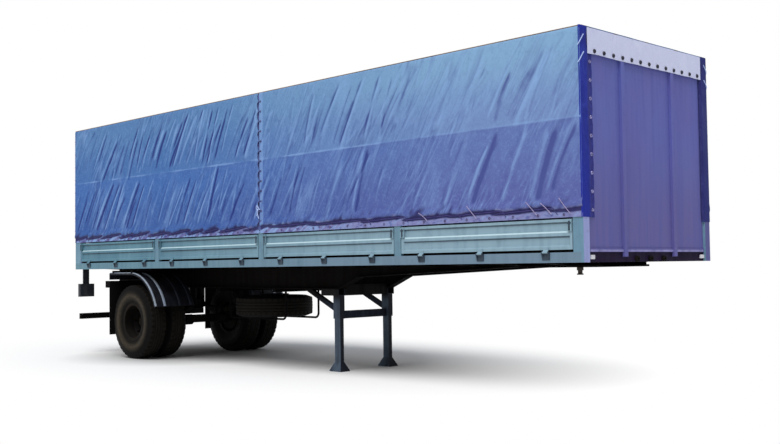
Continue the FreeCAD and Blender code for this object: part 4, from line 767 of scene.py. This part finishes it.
def corner_wrap(name, side, material, lap):
    """From the side cover's front edge round the corner, then a lap that leans back to the wall."""
    y_out = Y_CLOTH + 0.007
    across = [(X_FRONT - 0.014, y_out + 0.002), (X_FRONT - 0.004, y_out + 0.0022),
              (X_FACE - 0.0016, y_out - 0.001), (X_FACE, y_out - 0.009)]
    across += [(X_FACE, y) for y in np.linspace(y_out - 0.03, 1.118, 6)]
    face_count = len(across)
    across += lap
    zs = rows_between((Z_HEM - 0.002, Z_TOP - 0.03, 0.03), (Z_TOP - 0.03, Z_TOP - 0.004, 0.008))
    points = np.zeros((len(across), len(zs), 3))
    relief, hem = np.zeros(points.shape[:2]), np.zeros(points.shape[:2])
    for i, (px, py) in enumerate(across):
        free = smooth(i, 3, 9) * (i < len(across) - 1)
        pucker = 0.0022 * ripple(zs / 0.16 + 3 * side, zs * 0 + i * 0.35, 41 + side) * free
        scallop = 0.004 * np.cos(2 * math.pi * (zs - LAP_HEIGHTS[0]) / LAP_PITCH)
        scallop *= smooth(i, face_count + 1, face_count + 4)
        points[i, :, 0] = px + pucker
        points[i, :, 1] = side * (py + scallop)
        points[i, :, 2] = zs
        # painted highlight and shade on the puckers, and painted shade along the foot
        relief[i] = 0.5 + 110 * pucker - 0.12 * (zs < Z_HEM + 0.015)
        hem[i] = 0.75 * smooth(i, face_count - 1, face_count + 1)
    # painted shade at the wrap's head, deeper on the lap
    head = hump(zs, Z_TOP - 0.12, 0.09)
    gather = head * (0.3 + 0.4 * smooth(np.arange(len(across)), face_count - 2, face_count)[:, None])
    return surface(name, points, "chassis", material,
                   {"relief": relief, "hem": hem, "gather": gather}, flip=side < 0)


wrap_right = corner_wrap("corner_wrap_right", -1, NAVY,
                         [(X_FACE - 0.001, 1.105), (X_FACE - 0.006, 1.085), (X_PANEL + 0.006, 1.055),
                          (X_PANEL, 1.025), (X_PANEL - 0.002, 1.0)])
wrap_left = corner_wrap("corner_wrap_left", 1, SHADED_NAVY,
                        [(X_FACE - 0.002, 1.108), (X_PANEL + 0.008, 1.098), (X_PANEL - 0.002, 1.085)])
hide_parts("tilt_corner_wraps")


def front_flap():
    """Pale flap from the roof's front edge, hanging over the wall's head."""
    drop = flap_high.z - flap_low.z
    ys = rows_between((-1.098, 1.098, 0.02))
    downs = rows_between((0.0, 0.02, 0.005), (0.02, drop, 0.016))
    u, v = np.meshgrid(ys, downs, indexing="ij")
    foot = smooth(v, 0.1, 0.26)
    sway = 0.004 * foot * np.sin(2 * math.pi * u / 0.37 + 1.4 * ripple(u * 2, v * 0, 51))
    crease = 0.0022 * ripple(u / 0.12 + 4, v / 0.07, 52)
    x = flap_high.x - 0.0035 + 0.35 * (sway + crease) - 0.012 * smooth(0.012 - v, 0, 0.012)
    z = flap_high.z + 0.0035 - v + 0.003 * foot * ripple(u / 0.18, v * 0, 53)
    # painted highlight and shade on the creases, and painted shade along the bend at the top and along the
    # foot
    relief = 0.5 + 30 * crease - 0.1 * hump(v, 0.012, 0.006)
    relief -= 0.14 * hump(v, drop - 0.012, 0.004)
    return surface("front_flap", np.stack([x, u, z], axis=-1), "chassis", WHITE,
                   {"relief": relief, "hem": 0 * u, "gather": 0 * u})


flap = front_flap()
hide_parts("tilt_front_flap")


# ---- rear curtain ----
CURTAIN_HALF = 1.222
# where each pull line is across the curtain, at the top and at the foot
CURTAIN_FOLDS = ((-1.2, -0.75), (-1.0, -0.35), (-0.62, -0.2), (0.62, 0.3), (0.95, 0.4), (1.2, 0.8),
                 (0.35, 0.1))


def curtain():
    """One sheet across the rear, with a middle seam, pull lines and a gathered foot."""
    ys = rows_between((-CURTAIN_HALF, CURTAIN_HALF, 0.02))
    zs = rows_between((Z_HEM, Z_HEM + 0.22, 0.012), (Z_HEM + 0.22, Z_TOP - 0.006, 0.036))
    y, z = np.meshgrid(ys, zs, indexing="ij")
    down = (Z_TOP - z) / TILT
    out = 0.003 * ripple((y + 0.3 * z) / 0.16 + 30, down * 1.6, 61)
    out += 0.0022 * ripple((y - 0.5 * z) / 0.1 + 12, down * 2, 62)
    for y0, y1 in CURTAIN_FOLDS:
        line = y0 + (y1 - y0) * down
        shape = hump(y, line, 0.022) - 0.6 * hump(y, line + 0.034, 0.022)
        out += 0.006 * shape * smooth(down, 0.05, 0.4) * smooth(down, 0.97, 0.8)
    from_edge = CURTAIN_HALF - np.abs(y)
    out *= smooth(from_edge, 0.0, 0.08) * smooth(down, 0.0, 0.06) * smooth(z, Z_HEM + 0.12, Z_HEM + 0.22)
    foot, dark, band = drawn_in(y * 0.9, z, 1)
    out += foot * smooth(from_edge, 0.0, 0.05)
    raised = np.maximum(hump(z, Z_SEAM, 0.016, 4), hump(y, 0, 0.022, 4))
    # painted highlight and shade on the pull lines and ripples, and painted highlight on the raised seams
    relief = 0.5 + out / 0.018 + 0.3 * raised
    out = np.maximum(out + 0.0022 * raised, -0.0015)
    x = curtain_high.x - 0.0042 - out
    return surface("rear_curtain", np.stack([x, y, z], axis=-1), "chassis", BLUE,
                   {"relief": relief, "hem": band, "gather": dark})


rear_curtain = curtain()
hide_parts("tilt_rear_curtain")

# ---- eyelets and rope lacing ----
sheet_pieces = {"front": [], "rear": [], "wrap_right": [], "wrap_left": [], "flap": [], "curtain": []}


def rings(name, half, material, places, radius, wire):
    """A row of eyelets that belongs to one of the sheets."""
    piece = many(name, "chassis", material, None, add_ring, places, radius=radius, wire=wire)
    sheet_pieces[half].append(piece)


def ropes(name, half, material, runs, radius):
    """Runs of rope that belong to one of the sheets."""
    sheet_pieces[half].append(curve(name, runs, radius, "chassis", material))


def off_cover(side, points):
    """Points beside the trailer, each given as along, out from the side's cover, and height."""
    return [(x, side * (Y_CLOTH + COVER + out), z) for x, out, z in points]


def hem_lacing(side, label):
    """Eyelets along the hem, the rope in its gathers, and the ties near the front end."""
    holes = [x for x in np.arange(X_BACK + 0.14, X_FRONT - 0.05, 0.31) if abs(x + 0.01) > 0.06]
    for half, along in (("rear", [x for x in holes if x < 0]), ("front", [x for x in holes if x >= 0])):
        points = off_cover(side, [(x, 0.0045, Z_HEM + 0.030) for x in along])
        spots = [(point, (0, side, 0)) for point in points]
        rings(f"{label}_{half}_hem_eyelets", half, EYELET, spots, 0.011, 0.003)
    for half, low, high in (("rear", X_BACK, -0.1), ("front", 0.05, X_FRONT - 0.1)):
        runs = []
        for x, length, level, rise in gathers(side):
            if low < x and x + length < high:
                z = Z_HEM + level
                runs.append(off_cover(side, [
                    (x + 0.1 * length, 0.004, z + 0.1 * rise), (x + 0.6 * length, 0.002, z + 0.62 * rise),
                    (x + 0.95 * length, 0.006, z + 0.97 * rise), (x + 0.98 * length, 0.008, z + 0.4 * rise),
                    (x + 0.98 * length + 0.03, 0.005, Z_HEM + 0.03)]))
        ropes(f"{label}_{half}_hem_rope", half, HEM_ROPE, runs, 0.0035)
    ties = [off_cover(side, [(x - 0.07, 0.012, Z_HEM + 0.06 + drop), (x, 0.014, Z_HEM + 0.10),
                             (x + 0.06, 0.009, Z_HEM + 0.034)])
            for x, drop in ((2.92, 0.07), (3.62, 0.11), (4.40, 0.11), (4.58, 0.09), (4.80, 0.13))]
    ropes(f"{label}_hem_ties", "front", ROPE, ties, 0.0042)


def joint_lacing(side, label):
    """Short loops across the joint, and the loose tails of its rope near the foot."""
    count = int((TILT - 0.12) / LACE_PITCH)
    heights = [Z_TOP - LACE_PITCH * (i + 1) for i in range(count)]
    spots = [(point, (0, side, 0)) for point in off_cover(side, [(0.024, 0.0035, z) for z in heights])]
    rings(f"{label}_joint_eyelets", "front", EYELET, spots, 0.011, 0.003)
    loops = []
    for i, z in enumerate(heights):
        sag = 0.006 * ((i * 7) % 5)
        loops.append(off_cover(side, [
            (0.022, 0.007, z), (-0.004, 0.010, z + 0.004), (-0.030, 0.006, z - 0.012),
            (-0.042, 0.005, z - 0.034 - sag), (-0.034, 0.004, z - 0.052 - sag)]))
    ropes(f"{label}_joint_lacing", "rear", DARK_ROPE, loops, 0.005)
    tails = [off_cover(side, [(x, out, Z_HEM + height) for x, out, height in tail]) for tail in (
        [(-0.045, 0.009, 0.30), (-0.070, 0.019, 0.335), (-0.035, 0.023, 0.365), (-0.010, 0.019, 0.33),
         (-0.040, 0.013, 0.28), (-0.060, 0.009, 0.23)],
        [(0.010, 0.009, 0.31), (-0.030, 0.021, 0.32), (-0.052, 0.015, 0.27), (-0.020, 0.009, 0.19)])]
    ropes(f"{label}_joint_tails", "rear", PALE_ROPE, tails, 0.0065)


def corner_lacing(side, label):
    """The near lap's eyelets and the two short straps at the corner's head."""
    wrap = f"wrap_{label}"
    if side < 0:
        spots = [((X_PANEL + 0.009, side * 1.045, z), (1, 0, 0)) for z in LAP_HEIGHTS]
        rings(f"{label}_lap_eyelets", wrap, LAP_EYELET, spots, 0.013, 0.006)
    x = X_FRONT + 0.006
    straps = [[(x - 0.02, side * 1.236, Z_TOP - 0.20 - drop), (x + 0.002, side * 1.231, Z_TOP - 0.17 - drop),
               (x + 0.001, side * 1.20, Z_TOP - 0.13 - drop), (x, side * 1.165, Z_TOP - 0.09 - drop)]
              for drop in (0.0, 0.17)]
    ropes(f"{label}_corner_straps", wrap, PALE_ROPE, straps, 0.0055)


def curtain_lacing(side, label):
    """Eyelets down the curtain's edge, each with a tie round the corner post."""
    x = curtain_low.x - 0.004
    heights = np.arange(Z_TOP - 0.14, Z_HEM + 0.14, -0.21)
    ties = [[(x - 0.001, side * 1.19, z), (x - 0.003, side * 1.215, z - 0.03),
             (x + 0.012, side * 1.235, z - 0.055), (x + 0.04, side * 1.237, z - 0.07)] for z in heights]
    ropes(f"{label}_curtain_lacing", "curtain", ROPE, ties, 0.0045)
    spots = [((x, side * 1.19, z), (-1, 0, 0)) for z in heights]
    rings(f"{label}_curtain_eyelets", "curtain", EYELET, spots, 0.014, 0.0035)


for side, label in SIDES:
    hem_lacing(side, label)
    joint_lacing(side, label)
    corner_lacing(side, label)
    curtain_lacing(side, label)
flap_holes = [((flap_high.x + 0.0005, y, flap_low.z + 0.036), (1, 0, 0))
              for y in np.linspace(-0.98, 1.02, 13)]
rings("flap_eyelets", "flap", BLACK_EYELET, flap_holes, 0.013, 0.009)


# ---- tyres with tread ----
TREAD_HALF = 0.118          # from the tyre's middle plane to the tread's edge
GROOVES = (-0.062, -0.022, 0.022, 0.062)
BLOCKS = 42                 # shoulder lugs, and waves of the grooves, round the tyre
# from the tread's edge to the bead: distance from the middle plane, depth below the tread
WALL_PROFILE = [
    (0.1215, 0.013), (0.127, 0.03), (0.138, 0.058), (0.1465, 0.085), (0.149, 0.088), (0.1525, 0.118),
    (0.1535, 0.135), (0.1515, 0.15), (0.1535, 0.153), (0.151, 0.17), (0.142, 0.205), (0.1405, 0.208),
    (0.132, 0.232), (0.1245, 0.25), (0.1105, 0.262), (0.1075, 0.266), (0.1070, 0.300),
]


def tyre(name, body, middle, axis, replaced, dusty_side):
    """A tyre of the frame's size: ribbed tread, shoulder lugs and sidewall rings. axis is y or z."""
    tread = [(y, 0.0) for y in np.linspace(-TREAD_HALF, TREAD_HALF, 37)]
    profile = [(-y, d) for y, d in reversed(WALL_PROFILE)] + tread + WALL_PROFILE
    count = 4 * BLOCKS
    turn = (np.arange(count) * 2 * math.pi / count)[:, None]
    y, depth = (np.array(column)[None, :] + 0 * turn for column in zip(*profile))
    wave = np.sin(turn * BLOCKS)
    edge = TREAD_HALF + 0.0005
    on_tread = np.abs(y) <= edge
    crown = 0.0065 * (y / TREAD_HALF) ** 2
    groove = sum(hump(y, centre + 0.003 * wave, 0.0052, 4) for centre in GROOVES)
    lug = (wave > 0.35) * (np.abs(y) > 0.074)
    cut = np.where(on_tread, 0.012 * np.clip(groove, 0, 1) + 0.011 * lug, 0)
    shoulder = (np.abs(y) > edge) & (depth < 0.035)
    cut += 0.007 * shoulder * (wave > 0.35)
    r = TYRE_RADIUS - 0.0005 - depth - np.where(on_tread, crown, 0) - cut
    # a pale ring on the outer wall, which is dust and a painted highlight on the wall's bulge, and a little
    # dust on the tread
    outer = np.sign(dusty_side) * y > 0.1
    dust = np.where(outer, hump(r, 0.388, 0.045), 0.0) + 0.12 * on_tread * (cut < 0.004)
    ahead, across = middle.x + r * np.cos(turn), r * np.sin(turn)
    if axis == "y":
        points = np.stack([ahead, middle.y + y, middle.z + across], axis=-1)
    else:
        points = np.stack([ahead, middle.y + across, middle.z - y], axis=-1)
    piece = surface(name, points, body, TYRE, {"dust": dust}, around=True)
    if replaced:
        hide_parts(replaced)


def bolt_circle(name, body, count, first, circle, y, **sizes):
    """Bolts or nuts round the axle on a face that looks outward at y. first is in shares of their pitch."""
    turns = [2 * math.pi * (i + first) / count for i in range(count)]
    places = [((X_AXLE + circle * math.cos(a), y, Z_AXLE + circle * math.sin(a)), (0, math.copysign(1, y), 0))
              for a in turns]
    many(name, body, IRON, "hub_iron", add_bolt, places, **sizes)


TYRE_HALF = 0.155                           # half the width of one tyre
DISC_INSET, DISC_METAL = 0.175, 0.012       # the wheel disc from the tyre's middle plane, and its thickness
for side, label in SIDES:
    body = f"{label}_wheels"
    low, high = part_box(f"{label}_tyres")
    outer = side * (max(abs(low.y), abs(high.y)) - TYRE_HALF)
    inner = side * (min(abs(low.y), abs(high.y)) + TYRE_HALF)
    tyre(f"{label}_outer_tyre", body, Vector((X_AXLE, outer, Z_AXLE)), "y", f"{label}_tyres", side)
    tyre(f"{label}_inner_tyre", body, Vector((X_AXLE, inner, Z_AXLE)), "y", None, side)
    bolt_circle(f"{label}_wheel_nuts", body, 10, 0.5, 0.1675, side * (abs(outer) - DISC_INSET + DISC_METAL),
                radius=0.015, proud=0.028)
    low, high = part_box(f"{label}_hub")
    y_cap = side * (max(abs(low.y), abs(high.y)) - 0.034)
    bolt_circle(f"{label}_hub_bolts", body, 8, 0, 0.083, y_cap, radius=0.007, proud=0.008)

low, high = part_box("spare_tyre")
tyre("spare_tyre_rubber", "chassis", (low + high) / 2, "z", "spare_tyre", 1)


# ---- mudguard ribs ----
def guard_rib(bm, side, y, width, proud):
    """A rounded rib pressed along the guard's top, from its front edge to its rear corner."""
    low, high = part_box("right_mudguard")
    radius = high.z - Z_AXLE
    path = []
    for i in range(25):
        a = math.radians(19.5 + (90 - 19.5) * i / 24)
        path.append((X_AXLE + radius * math.cos(a), Z_AXLE + radius * math.sin(a), math.cos(a), math.sin(a)))
    path.append((low.x + 0.01, high.z, 0, 1))
    sections = []
    for px, pz, nx, nz in path:
        section = []
        for j in range(7):
            b = math.pi * j / 6
            lift = proud * math.sin(b) - 0.0005
            y_here = side * (y - width / 2 * math.cos(b))
            section.append(bm.verts.new((px + nx * lift, y_here, pz + nz * lift)))
        sections.append(section)
    for a, b in zip(sections, sections[1:]):
        for j in range(6):
            bm.faces.new((a[j], a[j + 1], b[j + 1], b[j]))
    for section in (sections[0], sections[-1]):
        bm.faces.new(section)


for side, label in SIDES:
    for name, material, ribs in (("guard_ribs", LIT_GUARD_RIB, ((1.207, 0.034, 0.012), (1.05, 0.044, 0.012))),
                                 ("inner_guard_ribs", SHADED_GUARD_RIB, ((0.79, 0.04, 0.010), (0.60, 0.04, 0.010)))):
        bm = bmesh.new()
        for y, width, proud in ribs:
            guard_rib(bm, side, y, width, proud)
        from_bmesh(bm, f"{label}_{name}", "chassis", material, 50)


# ---- lamps and the front sill ----
def blocks(name, material, boxes, body="chassis"):
    """One piece of several blocks, each given as its low corner, high corner and chamfer."""
    bm = bmesh.new()
    for low, high, edge in boxes:
        add_block(bm, low, high, edge)
    return from_bmesh(bm, name, body, material)


LAMP_Y = 1.06               # middle of the tail lamps and of the front markers
low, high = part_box("tail_lamps")
z0, z1 = low.z + 0.012, low.z + 0.198
LENSES = (                  # name, finish, bottom, top, and its ends across from the lamp's middle
    ("stop", RED_LENS, z0 + 0.065, z1, -0.112, 0.0),
    ("turn", AMBER_LENS, z0 + 0.065, z1, 0.006, 0.112),
    ("reflector", RED_LENS, z0, z0 + 0.058, -0.112, 0.112),
)
for side, label in SIDES:
    y = side * LAMP_Y
    for part, material, bottom, top, y0, y1 in LENSES:
        blocks(f"{label}_{part}_lens", material,
               [((low.x - 0.012, y + y0, bottom), (low.x + 0.002, y + y1, top), 0.006)])

z_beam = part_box("front_beam")[0].z
x_face = post_high.x
blocks("front_marker_lenses", CLEAR_LENS,
       [((x_face - 0.028, side * LAMP_Y - 0.034, z_beam + 0.03),
         (x_face - 0.004, side * LAMP_Y + 0.034, z_beam + 0.072), 0.009) for side in (-1, 1)])
blocks("front_sill", SILL,
       [((x_face - 0.0295, -1.09, Z_DECK + 0.002), (x_face - 0.012, 1.09, Z_DECK + 0.024), 0.003)])

# ---- bolts and rivets ----
HINGE_PITCH = 0.84
BOLT = {"radius": 0.0062, "proud": 0.005}
LEVER = (                   # two blocks: ends from the board's end, heights from its top, and how far out
    (0.016, 0.034, -0.104, -0.012, 0.0215),
    (0.004, 0.046, -0.040, -0.024, 0.0195),
)


def pairs_along(middle, half_gap):
    """Where bolts stand along a board: a pair at each of its three hinges."""
    return [middle + HINGE_PITCH * k + d for k in (-1, 0, 1) for d in (-half_gap, half_gap)]


def board_fittings(node, body, ends, outward, place):
    """Two bolts on each hinge strap, a bent lever over each end latch, and where the brackets' bolts go.

    place turns (distance along the board, distance out of its face, height) into a point.
    """
    low, high = ends
    middle = (low + high) / 2
    straps = [(place(a, 0.0002, Z_DECK + 0.040), outward) for a in pairs_along(middle, 0.017)]
    many(f"{node}_bolts", body, BOARD, "board_paint", add_bolt, straps, **BOLT)
    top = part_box(node)[1].z - 0.008
    levers = []
    for end, inward in ((low, 1), (high, -1)):
        for near, far, z0, z1, proud in LEVER:
            corners = np.array([place(end + inward * near, 0.012, top + z0),
                                place(end + inward * far, proud, top + z1)])
            levers.append((corners.min(axis=0), corners.max(axis=0), 0.003))
    blocks(f"{node}_latches", HINGE, levers, body)
    return [(place(a, 0.006, Z_DECK - 0.052), outward) for a in pairs_along(middle, 0.024)]


def hinge_fittings():
    """The boards' fittings, and two bolts on each bracket below them."""
    brackets = []
    for side, label in SIDES:
        def on_side(along, out, z):
            return along, side * (Y_CLOTH - 0.0003 + out), z
        for bay in range(1, 5):
            node = f"{label}_side_board_{bay}"
            ends = [corner.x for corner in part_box(node)]
            brackets += board_fittings(node, f"{label}_board_{bay}", ends, (0, side, 0), on_side)
    x_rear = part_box("rear_beam")[0].x

    def on_rear(along, out, z):
        return x_rear - out, along, z
    ends = [corner.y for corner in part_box("tailgate")]
    brackets += board_fittings("tailgate", "rear_board", ends, (-1, 0, 0), on_rear)
    many("bracket_bolts", "chassis", HINGE, "board_paint", add_bolt, brackets, **BOLT)


hinge_fittings()


def kerbs():
    """A low angle along the deck's edge behind each board, which closes the gap below it."""
    bottom, lip, top = Z_DECK - 0.001, Z_DECK + 0.004, Z_DECK + 0.034
    boxes = []
    for _, label in SIDES:
        for bay in range(1, 5):
            low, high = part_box(f"{label}_side_board_{bay}")
            inner = min(abs(low.y), abs(high.y)) - 0.012
            for near, far, z in ((0.0, 0.006, top), (0.005, 0.035, lip)):
                y0, y1 = sorted(math.copysign(inner - depth, low.y) for depth in (near, far))
                boxes.append(((low.x, y0, bottom), (high.x, y1, z), 0.001))
    low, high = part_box("tailgate")
    for near, far, z in ((0.012, 0.018, top), (0.017, 0.047, lip)):
        boxes.append(((high.x + near, low.y, bottom), (high.x + far, high.y, z), 0.001))
    # the kerbs take the near-black finish and stand for the shade in the gap under the boards
    blocks("deck_kerbs", FRAME, boxes)


kerbs()

rivets = [((x_face - 0.030, y, z), (1, 0, 0))
          for y in np.linspace(-1.08, 1.08, 28) for z in (wall_high.z - 0.32, Z_DECK + 0.055)]
rivets += [((x_face, y + d, z), (1, 0, 0)) for y in (-0.48, 0.48)
           for z in np.arange(Z_DECK + 0.1, wall_high.z - 0.3, 0.16) for d in (-0.018, 0.018)]
many("front_wall_rivets", "chassis", WALL, "wall_paint", add_rivet, rivets, radius=0.006)

# ---- spring clamps: two bars over each spring, bolted through to the plate below the axle ----
SPRING_Y = 0.45
clamps = [(side, x) for side in (-1, 1) for x in (X_AXLE - 0.075, X_AXLE + 0.075)]
bm = bmesh.new()
for side, x in clamps:
    for y in (side * 0.395, side * 0.505):
        bmesh.ops.create_cone(bm, cap_ends=True, segments=10, radius1=0.009, radius2=0.009, depth=0.30,
                              matrix=Matrix.Translation((x, y, Z_AXLE + 0.05)))
        add_bolt(bm, (x, y, Z_AXLE - 0.084), (0, 0, -1), 0.014, 0.016)
# the blocks come last, because cones added after a chamfer get their faces in a new order each run
for side, x in clamps:
    for half_x, half_y, bottom, top, edge in ((0.011, 0.066, 0.192, 0.214, 0.006),
                                              (0.02, 0.07, -0.084, -0.066, 0.004)):
        add_block(bm, (x - half_x, side * SPRING_Y - half_y, Z_AXLE + bottom),
                  (x + half_x, side * SPRING_Y + half_y, Z_AXLE + top), edge)
from_bmesh(bm, "spring_clamps", "chassis", IRON)

# ---- leg bolts ----
FOOT_HALF_LENGTH = 0.110                # the foot plate is the part of the leg that is farthest forward
leg_low, leg_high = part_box("right_landing_leg")
leg_x, leg_y = leg_high.x - FOOT_HALF_LENGTH, -(leg_low.y + leg_high.y) / 2
places = [((leg_x + dx, side * leg_y + dy, leg_low.z + 0.012), (0, 0, 1))
          for side in (-1, 1) for dx in (-0.085, 0.085) for dy in (-0.055, 0.055)]
many("leg_foot_bolts", "chassis", LEG, "leg_paint", add_bolt, places, radius=0.009, proud=0.010)

# ---- carried-over nodes get their finishes ----
FINISHES = (
    (RAIL, "side_rails rear_beam"), (FRONT_BEAM, "front_beam"), (WALL, "front_wall"),
    (CORNER_POST, "corner_posts"), (POST, "side_posts roof_bows"), (WOOD, "deck_boards roof_battens"),
    (HINGE, "hinge_brackets"), (PIN, "kingpin"), (FLAP, "mud_flaps"), (LAMP_BODY, "tail_lamps"),
    (LEG, "right_landing_leg left_landing_leg"), (BRACE, "leg_bracing"),
    (GUARD, "right_mudguard left_mudguard"), (WHEEL, "right_rims left_rims spare_rim"),
    (IRON, "axle_beam leaf_springs brake_chambers front_couplings right_hub left_hub"),
)
FINISH = {name: finish for finish, names in FINISHES for name in names.split()}
for name, node in nodes.items():
    board = "side_board" in name or name == "tailgate"
    node.data.materials.clear()
    node.data.materials.append(FINISH.get(name, BOARD if board else FRAME))

# ---- camera ----
scene = bpy.context.scene
camera = bpy.data.objects.new("camera", bpy.data.cameras.new("camera"))
scene.collection.objects.link(camera)
scene.camera = camera
EYE = Vector((10.57, -9.32, 1.36))
YAW, PITCH, ROLL = math.radians(135.3), math.radians(2.46), math.radians(-0.76)
forward = Vector((math.cos(PITCH) * math.cos(YAW), math.cos(PITCH) * math.sin(YAW), math.sin(PITCH)))
level = Vector((math.sin(YAW), -math.cos(YAW), 0))
upright = level.cross(forward)
right = level * math.cos(ROLL) + upright * math.sin(ROLL)
up = upright * math.cos(ROLL) - level * math.sin(ROLL)
turned = Matrix((right, up, -forward)).transposed().to_4x4()
camera.matrix_world = Matrix.Translation(EYE) @ turned
camera.data.sensor_width = 36
camera.data.lens = 47.0
camera.data.clip_start, camera.data.clip_end = 0.1, 300


# ---- floor, world and lamps ----
floor_mesh = bpy.data.meshes.new("floor")
floor_mesh.from_pydata([(-120, -120, 0), (120, -120, 0), (120, 120, 0), (-120, 120, 0)], [], [(0, 1, 2, 3)])
floor = bpy.data.objects.new("floor", floor_mesh)
scene.collection.objects.link(floor)
floor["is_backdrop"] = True
floor_material = bpy.data.materials.new("floor")
floor_mesh.materials.append(floor_material)
n = Nodes(floor_material)
rays = n.add("ShaderNodeLightPath", {}).outputs
place = n.add("ShaderNodeTexCoord", {}).outputs["Object"]
# the camera sees the floor whiter farther from a point behind the axle, which hides the horizon and paints
# light over the shadow under the front end
away = n.distance(place, (0.8, 1.4, 0), (-1.9, 0.7, 0))
white_share = n.remap(away, 2.5, 5.4, kind="LINEAR")
direct = n.math("MAXIMUM", rays["Is Camera Ray"], rays["Is Glossy Ray"])
# painted shadow: the ground is darker around the tyres
ground_painted_shadow = n.remap(n.distance(place, (1, 0.9, 0), (X_AXLE, 0, 0)), 0.8, 2.0, 0.36, 0.86, "LINEAR")
n.blend(n.math("MULTIPLY", white_share, direct),
        n.add("ShaderNodeBsdfDiffuse", {"Color": ground_painted_shadow}),
        n.add("ShaderNodeEmission", {"Color": (1, 1, 1, 1), "Strength": 1.0}), "ShaderNodeOutputMaterial")

world = bpy.data.worlds.new("world")
scene.world = world
n = Nodes(world)
rays = n.add("ShaderNodeLightPath", {}).outputs
n.blend(n.math("MAXIMUM", rays["Is Camera Ray"], rays["Is Transmission Ray"]),
        n.add("ShaderNodeBackground", {"Color": (0.95, 0.97, 1.0, 1), "Strength": 0.5}),
        n.add("ShaderNodeBackground", {"Color": (1, 1, 1, 1), "Strength": 1.0}), "ShaderNodeOutputWorld")

lamp = bpy.data.lights.new("key", "SUN")
lamp.energy = 2.45
lamp.angle = math.radians(36)
sun = bpy.data.objects.new("key", lamp)
scene.collection.objects.link(sun)
sun.rotation_mode = "QUATERNION"
sun.rotation_quaternion = Vector((-0.20, 0.50, -0.85)).to_track_quat("-Z", "Y")

scene.view_settings.view_transform = "Standard"

low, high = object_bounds()
